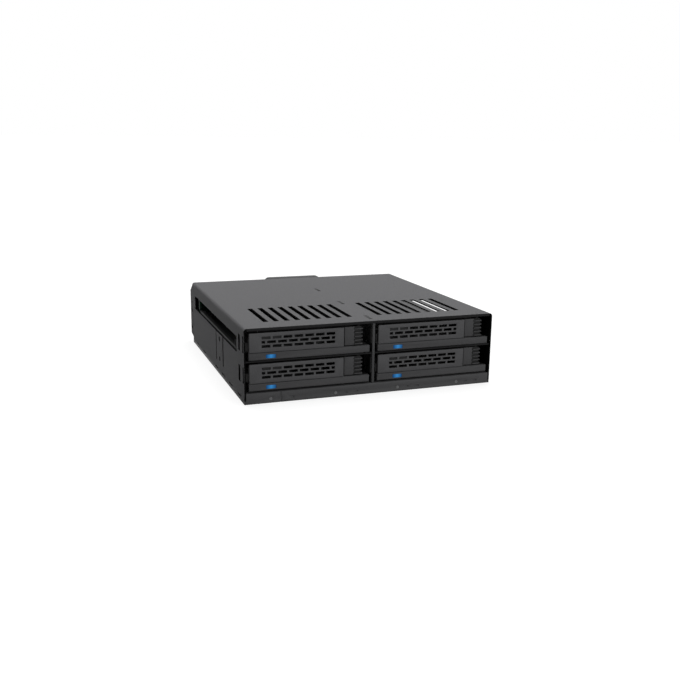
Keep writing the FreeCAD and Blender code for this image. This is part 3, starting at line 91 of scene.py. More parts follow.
# %% Millimetres to the frame
MM = 0.001
FRONT_Y = cad_low.y
ROWS = {"upper": 23.8, "lower": 7.0}
COLUMNS = {"left": -36.45, "right": 36.45}
BEZEL_WIDTH = 68.0
TRAYS = {
    "_" + row + "_" + column: (COLUMNS[column] - BEZEL_WIDTH / 2, ROWS[row])
    for row in ROWS
    for column in COLUMNS
}


def at(x, y, z):
    """Place in metres of a point given in millimetres from the front face."""
    return Vector((x * MM, FRONT_Y + y * MM, z * MM))


def in_tray(tag, u, y, z):
    """Place in metres of a point counted from the lower left corner of a tray's front."""
    left, low = TRAYS[tag]
    return at(left + u, y, low + z)


print("trays:", ", ".join(tag.strip("_") for tag in TRAYS))

# %% [markdown]
# The camera stands in front of the cage, a little to its left and above it, as in the photograph.
# Its place, turn and lens were worked out from the corners of the cage in the picture.
# A turn matrix is built from three plain angles, because that is easy to check by hand.

# %% Camera
CAMERA_PLACE = (-172.37, -422.14, 139.59)
CAMERA_YAW = 0.3468
CAMERA_PITCH = 0.2355
CAMERA_ROLL = 0.0130
CAMERA_LENS = 45.18
SENSOR_WIDTH = 36


def camera_turn(yaw, pitch, roll):
    """Turn of a camera that looks along +Y when all three angles are zero."""
    ahead = Vector((
        math.sin(yaw) * math.cos(pitch),
        math.cos(yaw) * math.cos(pitch),
        -math.sin(pitch),
    ))
    right = Vector((math.cos(yaw), -math.sin(yaw), 0))
    up = right.cross(ahead)
    tilted_right = math.cos(roll) * right + math.sin(roll) * up
    tilted_up = math.cos(roll) * up - math.sin(roll) * right
    return Matrix((tilted_right, tilted_up, -ahead)).transposed()


camera_data = bpy.data.cameras.new("camera")
camera_data.lens = CAMERA_LENS
camera_data.sensor_width = SENSOR_WIDTH
camera = bpy.data.objects.new("camera", camera_data)
bpy.context.scene.collection.objects.link(camera)
turn = camera_turn(CAMERA_YAW, CAMERA_PITCH, CAMERA_ROLL).to_4x4()
camera.matrix_world = Matrix.Translation(at(*CAMERA_PLACE)) @ turn
bpy.context.scene.camera = camera
print("camera lens in mm:", CAMERA_LENS)

# %% [markdown]
# A material here is a small net of nodes: a base colour that varies a little, a roughness and a
# fine bump. The patterns read Object coordinates, so they keep their real scale on every piece.
# One function makes the shared part of that net, and each finish below sets its own numbers.

# %% A helper for materials
DRIFT_FROM = 0.35
DRIFT_TO = 0.65
NOISE_DETAIL = 3.0


def new_material(name):
    """Empty material, its net of nodes and its shader."""
    material = bpy.data.materials.new(name)
    material.use_nodes = True
    return material, material.node_tree, material.node_tree.nodes["Principled BSDF"]


def noise_at(tree, size):
    """Noise whose grains are about the given size in millimetres."""
    place = tree.nodes.new("ShaderNodeTexCoord")
    noise = tree.nodes.new("ShaderNodeTexNoise")
    noise.inputs["Scale"].default_value = 1 / (size * MM)
    noise.inputs["Detail"].default_value = NOISE_DETAIL
    tree.links.new(place.outputs["Object"], noise.inputs["Vector"])
    return noise


def vary_colour(tree, noise, dark, light):
    """Socket of a colour that drifts between two values with the noise."""
    ramp = tree.nodes.new("ShaderNodeValToRGB")
    ramp.color_ramp.elements[0].position = DRIFT_FROM
    ramp.color_ramp.elements[0].color = (*dark, 1)
    ramp.color_ramp.elements[1].position = DRIFT_TO
    ramp.color_ramp.elements[1].color = (*light, 1)
    tree.links.new(noise.outputs["Fac"], ramp.inputs["Fac"])
    return ramp.outputs["Color"]


def add_bump(tree, shader, noise, height):
    """Bump of a real height in millimetres from a noise."""
    bump = tree.nodes.new("ShaderNodeBump")
    bump.inputs["Distance"].default_value = height * MM
    tree.links.new(noise.outputs["Fac"], bump.inputs["Height"])
    tree.links.new(bump.outputs["Normal"], shader.inputs["Normal"])


def grained(name, dark, light, grain, height, roughness, metallic=0.0, specular=0.5):
    """Material with a fine grain: coated steel, moulded plastic or plain metal."""
    material, tree, shader = new_material(name)
    noise = noise_at(tree, grain)
    tree.links.new(vary_colour(tree, noise, dark, light), shader.inputs["Base Color"])
    add_bump(tree, shader, noise, height)
    shader.inputs["Roughness"].default_value = roughness
    shader.inputs["Metallic"].default_value = metallic
    shader.inputs["Specular IOR Level"].default_value = specular
    return material


def grey(level):
    """Neutral colour of one level, with the faint blue that black paints have."""
    return (level, level, level * 1.03)


# %% [markdown]
# Where a pattern depends on the place of a point, the net needs some sums. A helper that joins
# two values with one sum keeps such a net readable, like a formula written step by step.
# The outcome is mostly a share from 0 to 1, by which a second colour covers the first.

# %% A helper for sums in a material


def worked(tree, operation, first, second=None):
    """Socket of one sum of two values, each a socket or a plain number."""
    node = tree.nodes.new("ShaderNodeMath")
    node.operation = operation
    for socket, value in zip(node.inputs, (first, second)):
        if isinstance(value, (int, float)):
            socket.default_value = value
        elif value is not None:
            tree.links.new(value, socket)
    return node.outputs["Value"]


def place_sockets(tree):
    """Sockets of the X, Y and Z of a point in Object coordinates."""
    place = tree.nodes.new("ShaderNodeTexCoord")
    split = tree.nodes.new("ShaderNodeSeparateXYZ")
    tree.links.new(place.outputs["Object"], split.inputs["Vector"])
    return split.outputs


def near(tree, value, middle, reach):
    """Socket that is 1 where a value lies within a reach of a middle, and 0 elsewhere."""
    away = worked(tree, "ABSOLUTE", worked(tree, "SUBTRACT", value, middle))
    return worked(tree, "LESS_THAN", away, reach)


def mixed(tree, factor, first, second):
    """Socket of a mix of two colours, each a socket or a colour."""
    mix = tree.nodes.new("ShaderNodeMix")
    mix.data_type = "RGBA"
    tree.links.new(factor, mix.inputs["Factor"])
    for name, colour in (("A", first), ("B", second)):
        if isinstance(colour, tuple):
            mix.inputs[name].default_value = (*colour, 1)
        else:
            tree.links.new(colour, mix.inputs[name])
    return mix.outputs["Result"]


def paint_over(material, share, colour):
    """Covers a material's base colour with another colour by a share from 0 to 1."""
    tree = material.node_tree
    base = tree.nodes["Principled BSDF"].inputs["Base Color"]
    tree.links.new(mixed(tree, share, base.links[0].from_socket, colour), base)


# %% [markdown]
# The cover is sheet steel under a black powder coat with a fine, slightly rough grain.
# Every cut edge of the sheet is painted much darker than its faces, and the inside of the cover
# nearly black, as painted shade that also keeps the slots dark. The lip along the front of the
# top gets a dark grey painted shade. An edge could be painted by hand, but a rule is shorter and
# exact: a point within the sheet's thickness is on a cut edge.

# %% Coated steel with painted shade on its cut edges, inside and lip
COVER_SIDE_MIDDLE = 72.6
COVER_TOP_MIDDLE = 40.9
COVER_CORE_HALF = 0.38
COVER_BEND_LOW = 39.6
COVER_BEND_INNER = 71.3
COVER_FRONT_DEPTH = 0.1
COVER_INSIDE_X = 72.25
COVER_INSIDE_Z = 40.55
COVER_LIP_Z = 39.7
COVER_LIP_DEPTH = 0.45
# Colours of painted shade: dark grey on the front lip, near-black on the cut edges and inside the
# cover.
COVER_LIP_SHADE = 0.034
COVER_EDGE_SHADE = 0.002
POWDER_DARK = 0.118
POWDER_LIGHT = 0.150
POWDER = {"grain": 0.45, "height": 0.03, "roughness": 0.6, "specular": 0.03}


def shaded_edges_and_inside(tree):
    """Socket that is 1 where shade is painted: on the cut edges of the cover's sheet and inside
    the cover.
    """
    x, y, z = place_sockets(tree)
    across = worked(tree, "ABSOLUTE", x)
    in_side = near(tree, across, COVER_SIDE_MIDDLE * MM, COVER_CORE_HALF * MM)
    under_bend = worked(tree, "LESS_THAN", z, COVER_BEND_LOW * MM)
    in_top = near(tree, z, COVER_TOP_MIDDLE * MM, COVER_CORE_HALF * MM)
    off_bend = worked(tree, "LESS_THAN", across, COVER_BEND_INNER * MM)
    at_front = worked(tree, "LESS_THAN", y, FRONT_Y + COVER_FRONT_DEPTH * MM)
    within = worked(tree, "LESS_THAN", across, COVER_INSIDE_X * MM)
    below = worked(tree, "LESS_THAN", z, COVER_INSIDE_Z * MM)
    side_edge = worked(tree, "MULTIPLY", in_side, under_bend)
    top_edge = worked(tree, "MULTIPLY", in_top, off_bend)
    inside = worked(tree, "MULTIPLY", within, below)
    edges = worked(tree, "MAXIMUM", side_edge, top_edge)
    return worked(tree, "MAXIMUM", worked(tree, "MAXIMUM", edges, inside), at_front)


def shaded_front_lip(tree):
    """Socket that is 1 on the turned-down lip along the front of the cover's top, where shade is
    painted.
    """
    x, y, z = place_sockets(tree)
    between = worked(tree, "LESS_THAN", worked(tree, "ABSOLUTE", x), COVER_BEND_INNER * MM)
    above = worked(tree, "GREATER_THAN", z, COVER_LIP_Z * MM)
    under_top = worked(tree, "LESS_THAN", z, (COVER_TOP_MIDDLE + COVER_CORE_HALF) * MM)
    in_front = worked(tree, "LESS_THAN", y, FRONT_Y + COVER_LIP_DEPTH * MM)
    band = worked(tree, "MULTIPLY", above, under_top)
    return worked(tree, "MULTIPLY", worked(tree, "MULTIPLY", between, in_front), band)


coated_steel = grained("coated_steel", grey(POWDER_DARK), grey(POWDER_LIGHT), **POWDER)
# Painted shade over the coat: near-black on the cut edges and inside, then dark grey on the front
# lip.
paint_over(coated_steel, shaded_edges_and_inside(coated_steel.node_tree), grey(COVER_EDGE_SHADE))
paint_over(coated_steel, shaded_front_lip(coated_steel.node_tree), grey(COVER_LIP_SHADE))
print("coated steel has", len(coated_steel.node_tree.nodes), "nodes")

# %% [markdown]
# The rear panel has the same powder coat. The sheets inside are painted too, but in a smoother
# and darker paint, and the shelves and tray sheets are darker still as painted shade, for they
# lie in shade behind the slots. Screws, springs and contacts are bare metal, which is fully
# metallic in a shader, with only a faint grain. The fan's screws are blackened, so they are less
# metallic.

# %% Paints and metals
panel_coat = grained("panel_coat", grey(POWDER_DARK), grey(POWDER_LIGHT), **POWDER)
# The shelf and tray sheets are darker than their paint as painted shade, for they lie in shade
# behind the slots.
tray_steel = grained(
    "tray_steel", grey(0.010), grey(0.016), grain=0.5, height=0.01, roughness=0.5, specular=0.08
)
pan_steel = grained(
    "pan_steel", grey(0.040), grey(0.055), grain=0.45, height=0.02, roughness=0.55, specular=0.2
)
bright_steel = grained(
    "bright_steel", grey(0.50), grey(0.60), grain=0.3, height=0.004, roughness=0.3, metallic=1.0
)
black_screw = grained(
    "black_screw", grey(0.02), grey(0.03), grain=0.3, height=0.004, roughness=0.35, metallic=0.6
)
GOLD_DARK = (0.72, 0.52, 0.20)
GOLD_LIGHT = (0.80, 0.60, 0.26)
contact_gold = grained(
    "contact_gold", GOLD_DARK, GOLD_LIGHT, grain=0.2, height=0.002, roughness=0.25, metallic=1.0
)
print("paints and metals:", ", ".join(material.name for material in bpy.data.materials))

# %% [markdown]
# Bezels, levers and latches are moulded in a matte black plastic with a very fine spark grain.
# The strip along the bottom of the front is a little darker than the levers.
# Little light reaches the gaps in these fronts, where the photograph is nearly black. A finish
# that darkens with depth shows that: it is grey on the front faces and black a few millimetres
# in. Each depth below is where the darkening starts and how far it goes on.
# The fan and the plugs are smoother plastic, and the boards are green under a clear varnish.

# %% Plastic finishes
LEVER_DEPTH = (0.1, 0.2)
BEZEL_DEPTH = (0.8, 2.0)
RIB_DEPTH = (0.1, 0.7)
DIVIDER_DEPTH = (1.0, 2.0)
RIB_ZONE = 59.2
GROOVE_MIDDLE = 53.3
GROOVE_HALF = 0.34
TRAY_LEFT = COLUMNS["left"] - BEZEL_WIDTH / 2
DEPTH_SHADE_BLACK = 0.004
MOULDED = {"grain": 0.3, "height": 0.013, "roughness": 0.6, "specular": 0.2}
COLUMN_PITCH = COLUMNS["right"] - COLUMNS["left"]


def share_of(tree, value, start, reach):
    """Socket that grows from 0 at a start to 1 at a reach beyond it."""
    share = worked(tree, "DIVIDE", worked(tree, "SUBTRACT", value, start), reach)
    return worked(tree, "MINIMUM", worked(tree, "MAXIMUM", share, 0), 1)


def wrapped_x(tree, x):
    """Socket of X on the left column of trays, for a point on either column."""
    wrap = tree.nodes.new("ShaderNodeMath")
    wrap.operation = "WRAP"
    wrap.inputs[1].default_value = 0
    wrap.inputs[2].default_value = -COLUMN_PITCH * MM
    tree.links.new(x, wrap.inputs[0])
    return wrap.outputs["Value"]


def moulded(name, dark, light, depth, ribbed=False):
    """Plastic that is grey in front with painted shade: black with depth, or for a latch only
    between its ribs and in its groove.
    """
    material = grained(name, grey(dark), grey(light), **MOULDED)
    tree = material.node_tree
    x, y, z = place_sockets(tree)
    share = share_of(tree, y, FRONT_Y + depth[0] * MM, depth[1] * MM)
    if ribbed:
        along = wrapped_x(tree, x)
        at_ribs = worked(tree, "GREATER_THAN", along, (TRAY_LEFT + RIB_ZONE) * MM)
        groove = near(tree, along, (TRAY_LEFT + GROOVE_MIDDLE) * MM, GROOVE_HALF * MM)
        share = worked(tree, "MAXIMUM", worked(tree, "MULTIPLY", share, at_ribs), groove)
    # Painted shade: black with depth, and for a latch between its ribs and in its groove.
    paint_over(material, share, grey(DEPTH_SHADE_BLACK))
    return material


lever_black = moulded("lever_black", 0.100, 0.120, LEVER_DEPTH)
bezel_black = moulded("bezel_black", 0.070, 0.088, BEZEL_DEPTH)
latch_black = moulded("latch_black", 0.070, 0.088, RIB_DEPTH, ribbed=True)
divider_grey = moulded("divider_grey", 0.060, 0.078, DIVIDER_DEPTH)
pin_black = grained(
    "pin_black", grey(0.010), grey(0.016), grain=0.3, height=0.004, roughness=0.4, specular=0.2
)
strip_black = grained(
    "strip_black", grey(0.078), grey(0.100), grain=0.3, height=0.015, roughness=0.6, specular=0.2
)
plug_black = grained(
    "plug_black", grey(0.012), grey(0.02), grain=0.4, height=0.005, roughness=0.45
)
fan_black = grained(
    "fan_black", grey(0.020), grey(0.028), grain=0.6, height=0.006, roughness=0.5, specular=0.1
)
frosted = grained("frosted", grey(0.13), grey(0.18), grain=0.4, height=0.004, roughness=0.35)
STATUS_DARK = (0.006, 0.045, 0.02)
STATUS_LIGHT = (0.01, 0.07, 0.032)
status_green = grained(
    "status_green", STATUS_DARK, STATUS_LIGHT, grain=2.0, height=0.01, roughness=0.35
)
print("plastic finishes darken to", DEPTH_SHADE_BLACK)

# %% [markdown]
# Copper tracks show through the varnish of a circuit board as lines of a lighter green. Cells
# with straight sides look like such tracks, so a cell pattern draws the lines at its borders.

# %% Board with tracks
TRACK_CELL = 4.5
TRACK_WIDTH = 0.05
BOARD_DARK = (0.002, 0.012, 0.006)
BOARD_LIGHT = (0.005, 0.040, 0.018)


def tracked_board(name):
    """Green board with lighter tracks under the varnish."""
    material, tree, shader = new_material(name)
    place = tree.nodes.new("ShaderNodeTexCoord")
    cells = tree.nodes.new("ShaderNodeTexVoronoi")
    cells.feature = "DISTANCE_TO_EDGE"
    cells.inputs["Scale"].default_value = 1 / (TRACK_CELL * MM)
    tree.links.new(place.outputs["Object"], cells.inputs["Vector"])
    line = worked(tree, "LESS_THAN", cells.outputs["Distance"], TRACK_WIDTH)
    tree.links.new(mixed(tree, line, BOARD_DARK, BOARD_LIGHT), shader.inputs["Base Color"])
    shader.inputs["Roughness"].default_value = 0.4
    shader.inputs["Specular IOR Level"].default_value = 0.1
    return material


board_green = tracked_board("board_green")

# %% [markdown]
# Each tray has one small blue light. A lamp behind the middle of the lens makes the middle
# glow and leaves the ends deep blue, so the glow falls off along the lens. The two columns of
# trays are one pitch apart, so a wrapped X gives the lenses of both the same scale.

# %% Lit lens
LIGHT_MIDDLE = TRAY_LEFT + 12.1
LIGHT_FADE = 2.9
LIGHT_CORE = 0.02
CORE_BLUE = (0.030, 0.24, 0.58)
END_BLUE = (0.001, 0.03, 0.11)
LENS_BLUE = (0.002, 0.02, 0.06)


def lit_lens(name):
    """Blue lens that glows most in its middle."""
    material, tree, shader = new_material(name)
    x = place_sockets(tree)["X"]
    away = worked(tree, "SUBTRACT", wrapped_x(tree, x), LIGHT_MIDDLE * MM)
    share = worked(tree, "DIVIDE", worked(tree, "ABSOLUTE", away), LIGHT_FADE * MM)
    ramp = tree.nodes.new("ShaderNodeValToRGB")
    ramp.color_ramp.elements[0].color = (*CORE_BLUE, 1)
    ramp.color_ramp.elements[1].color = (*END_BLUE, 1)
    ramp.color_ramp.elements[0].position = LIGHT_CORE
    tree.links.new(share, ramp.inputs["Fac"])
    tree.links.new(ramp.outputs["Color"], shader.inputs["Emission Color"])
    shader.inputs["Base Color"].default_value = (*LENS_BLUE, 1)
    shader.inputs["Emission Strength"].default_value = 0.8
    shader.inputs["Roughness"].default_value = 0.3
    shader.inputs["Specular IOR Level"].default_value = 0.1
    return material


blue_lens = lit_lens("blue_lens")

# %% [markdown]
# Every solid of the frame gets the finish of its own kind. The name of a node starts with the
# kind of piece that it is, so a short table is enough.

# %% Finishes on the frame
FINISH_OF = {
    "top_cover": coated_steel,
    "bottom_pan": pan_steel,
    "rear_panel": panel_coat,
    "centre_divider": divider_grey,
    "shelf": tray_steel,
    "front_strip": strip_black,
    "status_lenses": frosted,
    "status_board": status_green,
    "backplane_board": board_green,
    "board_standoffs": pin_black,
    "board_screws": bright_steel,
    "panel_screws": bright_steel,
    "fan_frame": fan_black,
    "fan_screws": black_screw,
    "fan_rotor": fan_black,
    "drive_connector": plug_black,
    "data_port": plug_black,
    "power_inlet": plug_black,
    "sled": tray_steel,
    "bezel": bezel_black,
    "tray_screws": bright_steel,
    "hinge_pin": pin_black,
    "light_lens": blue_lens,
    "lever": lever_black,
    "latch_spring": bright_steel,
    "latch": latch_black,
}


def kind_of(node):
    """Longest name in the table that a node's name starts with."""
    return max((kind for kind in FINISH_OF if node.startswith(kind)), key=len)


solids = frame["nodes"]
for node, piece in solids.items():
    for slot in piece.material_slots:
        slot.link = "OBJECT"
        slot.material = FINISH_OF[kind_of(node)]
print("finishes set on", len(solids), "solids")

# %% [markdown]
# Real edges are never perfectly sharp: a moulded edge has a small round, and a cut sheet is
# deburred. That round catches a thin line of light, which tells the eye how large a piece is.
# A bevel on a copy of each solid gives it, and the copy then stands for the solid.
# The solid is loose triangles, so the copy's doubles are merged and its flat faces made whole
# first, because a bevel needs real edges between whole faces.

# %% A helper for softened copies
MERGE_GAP = 1e-6
FLAT_ANGLE = math.radians(1)
SHARP_ANGLE = math.radians(35)
BEVEL_STEPS = 2


def whole_faces(mesh):
    """Merges a mesh's doubles and joins its flat neighbours into whole faces."""
    work = bmesh.new()
    work.from_mesh(mesh)
    bmesh.ops.remove_doubles(work, verts=work.verts, dist=MERGE_GAP)
    bmesh.ops.dissolve_limit(work, angle_limit=FLAT_ANGLE, verts=work.verts, edges=work.edges)
    work.to_mesh(mesh)
    work.free()


def settle(piece):
    """Turns a piece and its live modifiers into one plain mesh."""
    graph = bpy.context.evaluated_depsgraph_get()
    mesh = bpy.data.meshes.new_from_object(piece.evaluated_get(graph), depsgraph=graph)
    piece.modifiers.clear()
    piece.data = mesh
    mesh.name = piece.name
    mesh.polygons.foreach_set("use_smooth", [True] * len(mesh.polygons))
    mesh.set_sharp_from_angle(angle=SHARP_ANGLE)
    return piece


def new_piece(name, mesh):
    """New object for a mesh, in the scene."""
    piece = bpy.data.objects.new(name, mesh)
    bpy.context.scene.collection.objects.link(piece)
    return piece


def body_of(node):
    """Name of the body that a node of the frame moves with."""
    return solids[node]["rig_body"]


def bevel_edges(piece, width):
    """Bevel on the sharp edges of a piece, in millimetres."""
    bevel = piece.modifiers.new("edges", "BEVEL")
    bevel.width = width * MM
    bevel.segments = BEVEL_STEPS
    bevel.limit_method = "ANGLE"
    bevel.angle_limit = SHARP_ANGLE
    bevel.use_clamp_overlap = False


def wear(piece, finish):
    """Gives a piece one finish and no other."""
    piece.data.materials.clear()
    piece.data.materials.append(finish)


def softened(node, width):
    """Copy of a solid with small bevels on its sharp edges, which stands for the solid."""
    mesh = solids[node].data.copy()
    whole_faces(mesh)
    piece = new_piece(node + "_dressed", mesh)
    bevel_edges(piece, width)
    settle(piece)
    wear(piece, FINISH_OF[kind_of(node)])
    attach(piece, body_of(node))
    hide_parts(node)
    return piece


# %% [markdown]
# The softened copies are made for the moulded front pieces, the inner sheets and the plugs. The
# width of a bevel is the round that such a piece really has: a quarter of a millimetre on the
# fan, and less than a tenth on a thin sheet. The board also grows by nearly half a millimetre
# at each side, so that no daylight passes its edge in the side window.

# %% Softened pieces
BEVEL_OF = {
    "bezel": 0.16,
    "lever": 0.14,
    "front_strip": 0.12,
    "light_lens": 0.15,
    "sled": 0.07,
    "centre_divider": 0.08,
    "bottom_pan": 0.08,
    "rear_panel": 0.08,
    "fan_frame": 0.25,
    "drive_connector": 0.12,
    "data_port": 0.12,
    "power_inlet": 0.12,
}
BOARD_BEVEL = 0.05
BOARD_SIDE = 70.0
BOARD_GROWTH = 1.006
for node in sorted(solids):
    if kind_of(node) in BEVEL_OF:
        softened(node, BEVEL_OF[kind_of(node)])
board = softened("backplane_board", BOARD_BEVEL)
for corner in board.data.vertices:
    if abs(corner.co.x) > BOARD_SIDE * MM:
        corner.co.x *= BOARD_GROWTH
copies = [piece for piece in bpy.data.objects if piece.name.endswith("_dressed")]
print("softened copies:", len(copies), "faces:", sum(len(c.data.polygons) for c in copies))

# %% [markdown]
# Ribs, contacts, screws and fan blades all repeat one small shape. Copies could be typed in a
# loop, but Geometry Nodes keep them as one rule: a line of points, one copy of a piece on each,
# and a turn that grows from copy to copy. The same tree makes a straight row when the turn is
# zero, a ring when the step is zero, and single copies when the count is one.

# %% A tree for rows and rings


def add_input(tree, name, kind):
    """Adds a named input to a tree and gives its socket's identifier."""
    return tree.interface.new_socket(name=name, in_out="INPUT", socket_type=kind).identifier


def end_tree(tree, given, instances):
    """Ends a tree: its instances become one plain mesh in the finish that was given."""
    link = tree.links.new
    plain = tree.nodes.new("GeometryNodeRealizeInstances")
    link(instances, plain.inputs["Geometry"])
    finish = tree.nodes.new("GeometryNodeSetMaterial")
    link(plain.outputs["Geometry"], finish.inputs["Geometry"])
    link(given.outputs["Finish"], finish.inputs["Material"])
    tree.interface.new_socket(name="Result", in_out="OUTPUT", socket_type="NodeSocketGeometry")
    out = tree.nodes.new("NodeGroupOutput")
    link(finish.outputs["Geometry"], out.inputs["Result"])


def make_row_tree():
    """Tree that sets a row or ring of copies of a piece at each point of a mesh."""
    tree = bpy.data.node_groups.new("row_of_copies", "GeometryNodeTree")
    inputs = {
        "Places": add_input(tree, "Places", "NodeSocketGeometry"),
        "Piece": add_input(tree, "Piece", "NodeSocketObject"),
        "Count": add_input(tree, "Count", "NodeSocketInt"),
        "Step": add_input(tree, "Step", "NodeSocketVector"),
        "Turn": add_input(tree, "Turn", "NodeSocketVector"),
        "Finish": add_input(tree, "Finish", "NodeSocketMaterial"),
    }
    nodes = tree.nodes
    link = tree.links.new
    given = nodes.new("NodeGroupInput")
    line = nodes.new("GeometryNodeMeshLine")
    link(given.outputs["Count"], line.inputs["Count"])
    link(given.outputs["Step"], line.inputs["Offset"])
    piece = nodes.new("GeometryNodeObjectInfo")
    link(given.outputs["Piece"], piece.inputs["Object"])
    number = nodes.new("GeometryNodeInputIndex")
    turn = nodes.new("ShaderNodeVectorMath")
    turn.operation = "SCALE"
    link(given.outputs["Turn"], turn.inputs["Vector"])
    link(number.outputs["Index"], turn.inputs["Scale"])
    row = nodes.new("GeometryNodeInstanceOnPoints")
    link(line.outputs["Mesh"], row.inputs["Points"])
    link(piece.outputs["Geometry"], row.inputs["Instance"])
    link(turn.outputs["Vector"], row.inputs["Rotation"])
    rows = nodes.new("GeometryNodeInstanceOnPoints")
    link(given.outputs["Places"], rows.inputs["Points"])
    link(row.outputs["Instances"], rows.inputs["Instance"])
    end_tree(tree, given, rows.outputs["Instances"])
    return tree, inputs


row_tree, row_inputs = make_row_tree()
print("row tree inputs:", ", ".join(row_inputs))

# %% [markdown]
# The tree is used through one function. It makes a mesh that is only points, adds the tree as a
# modifier with its inputs set, and turns the outcome into a plain mesh that rides on one body.

# %% Rows of copies on a body


def settle_on(body, piece):
    """Makes a piece plain and lets it ride on a body."""
    settle(piece)
    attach(piece, body)
    return piece


def points_piece(name, places):
    """Piece that is only points, for a tree to build on."""
    mesh = bpy.data.meshes.new(name)
    mesh.from_pydata([tuple(place) for place in places], [], [])
    return new_piece(name, mesh)


def copies_at(name, places, pattern, count, step, turn, finish):
    """Piece with a row or ring of copies of a pattern object at each place."""
    piece = points_piece(name, places)
    nodes = piece.modifiers.new("row", "NODES")
    nodes.node_group = row_tree
    nodes[row_inputs["Piece"]] = pattern
    nodes[row_inputs["Count"]] = count
    nodes[row_inputs["Step"]] = step
    nodes[row_inputs["Turn"]] = turn
    nodes[row_inputs["Finish"]] = finish
    return piece


NO_STEP = (0.0, 0.0, 0.0)
NO_TURN = (0.0, 0.0, 0.0)

# %% [markdown]
# Small blocks serve for the bodies of the latches, for contacts and for the cross in a screw.
# Several blocks become one closed skin with a Boolean, so no wall is left inside, and a bevel
# then softens the edges of the whole.

# %% A helper for pieces made of blocks


def block_mesh(name, low, high):
    """Closed box between two corners in metres, faces outward."""
    sides = list(zip(low, high))
    corners = [(x, y, z) for x in sides[0] for y in sides[1] for z in sides[2]]
    faces = [(0, 1, 3, 2), (4, 6, 7, 5), (0, 4, 5, 1), (2, 3, 7, 6), (0, 2, 6, 4), (1, 5, 7, 3)]
    mesh = bpy.data.meshes.new(name)
    mesh.from_pydata(corners, [], faces)
    return mesh


def from_blocks(name, blocks, width, finish):
    """One piece from blocks that meet, each a pair of corners, with its edges bevelled."""
    piece = new_piece(name, block_mesh(name, *blocks[0]))
    helpers = []
    for low, high in blocks[1:]:
        helper = new_piece(name + "_part", block_mesh(name + "_part", low, high))
        union = piece.modifiers.new("join", "BOOLEAN")
        union.operation = "UNION"
        union.solver = "EXACT"
        union.object = helper
        helpers.append(helper)
    bevel_edges(piece, width)
    settle(piece)
    for helper in helpers:
        bpy.data.objects.remove(helper)
    wear(piece, finish)
    return piece


# %% [markdown]
# The latch is a flat slide at the right end of the lever. A finger pushes it aside by its ribs,
# and its hooked tooth then lets go of the bezel. Its body is six blocks: a rail and a plate with
# a groove between them, the skin behind both, the core, the stem and the nose of the tooth.

# %% Latch bodies
LATCH_SKIN = ((51.45, 1.5, 4.55), (63.35, 1.8, 14.8))
LATCH_RAIL = ((51.45, 0.9, 4.55), (52.95, 1.6, 14.8))
LATCH_PLATE = ((53.65, 0.9, 4.55), (63.35, 1.6, 14.8))
LATCH_CORE = ((53.45, 1.7, 5.2), (63.35, 3.0, 13.9))
LATCH_STEM = ((58.45, 2.8, 8.05), (60.15, 6.5, 11.05))
LATCH_NOSE = ((60.0, 5.6, 8.05), (61.85, 6.5, 11.05))
LATCH_BLOCKS = (LATCH_SKIN, LATCH_RAIL, LATCH_PLATE, LATCH_CORE, LATCH_STEM, LATCH_NOSE)
LATCH_BEVEL = 0.12
for tag in TRAYS:
    blocks = [[in_tray(tag, *corner) for corner in block] for block in LATCH_BLOCKS]
    latch = from_blocks("latch_body" + tag, blocks, LATCH_BEVEL, latch_black)
    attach(latch, "latch" + tag)
    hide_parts("latch" + tag)
print("latch body faces:", len(latch.data.polygons))

# %% [markdown]
# The ribs of the latch stick out like the teeth of a comb. Each one slopes back from its lower
# edge, so its upper face catches the light and shows as a pale line, as in the photograph.
# One rib is drawn as a wedge, and the row tree stacks five of them on each latch.

# %% Latch ribs
RIB_LENGTH = 4.7
RIB_LOW = -0.45
RIB_HIGH = 0.55
RIB_EDGE = -0.05
RIB_SLOPE = 0.75
RIB_DEEP = 1.55
RIB_PROFILE = (
    (0.0, RIB_LOW),
    (0.0, RIB_EDGE),
    (RIB_SLOPE, RIB_HIGH),
    (RIB_DEEP, RIB_HIGH),
    (RIB_DEEP, RIB_LOW),
)
RIB_COUNT = 5
RIB_PITCH = 2.1
RIB_FIRST = (59.25, 0.2, 5.35)
RIB_BEVEL = 0.1


def rib_pattern():
    """One wedge-shaped rib, from its own lower left front corner."""
    count = len(RIB_PROFILE)
    points = [(u * MM, y * MM, z * MM) for u in (0, RIB_LENGTH) for y, z in RIB_PROFILE]
    faces = [tuple(range(count)), tuple(reversed(range(count, 2 * count)))]
    for i in range(count):
        after = (i + 1) % count
        faces.append((i, i + count, after + count, after))
    mesh = bpy.data.meshes.new("rib")
    mesh.from_pydata(points, [], faces)
    work = bmesh.new()
    work.from_mesh(mesh)
    bmesh.ops.recalc_face_normals(work, faces=work.faces)
    work.to_mesh(mesh)
    work.free()
    piece = new_piece("rib_pattern", mesh)
    bevel_edges(piece, RIB_BEVEL)
    return settle(piece)


rib = rib_pattern()
rib_step = (0.0, 0.0, RIB_PITCH * MM)
for tag in TRAYS:
    first = in_tray(tag, *RIB_FIRST)
    ribs = copies_at("latch_ribs" + tag, [first], rib, RIB_COUNT, rib_step, NO_TURN, latch_black)
    settle_on("latch" + tag, ribs)
bpy.data.objects.remove(rib)
print("faces in one stack of ribs:", len(ribs.data.polygons))

# %% [markdown]
# A coil spring is a circle drawn along a spiral. Geometry Nodes have both, so the tree is short,
# and its turns, wire and length are inputs that a maker can read off a spring. A latch that is
# pushed aside presses its spring to less than half; here the spring keeps its length and rides on
# the lever.

# %% Latch springs
SPRING_SIZES = {
    "Turns": 6.0,
    "Coil Radius": 0.45 * MM,
    "Wire Radius": 0.1 * MM,
    "Length": 3.9 * MM,
}
SPRING_START = (49.4, 2.5, 9.55)
WIRE_SIDES = 6
TURN_POINTS = 20


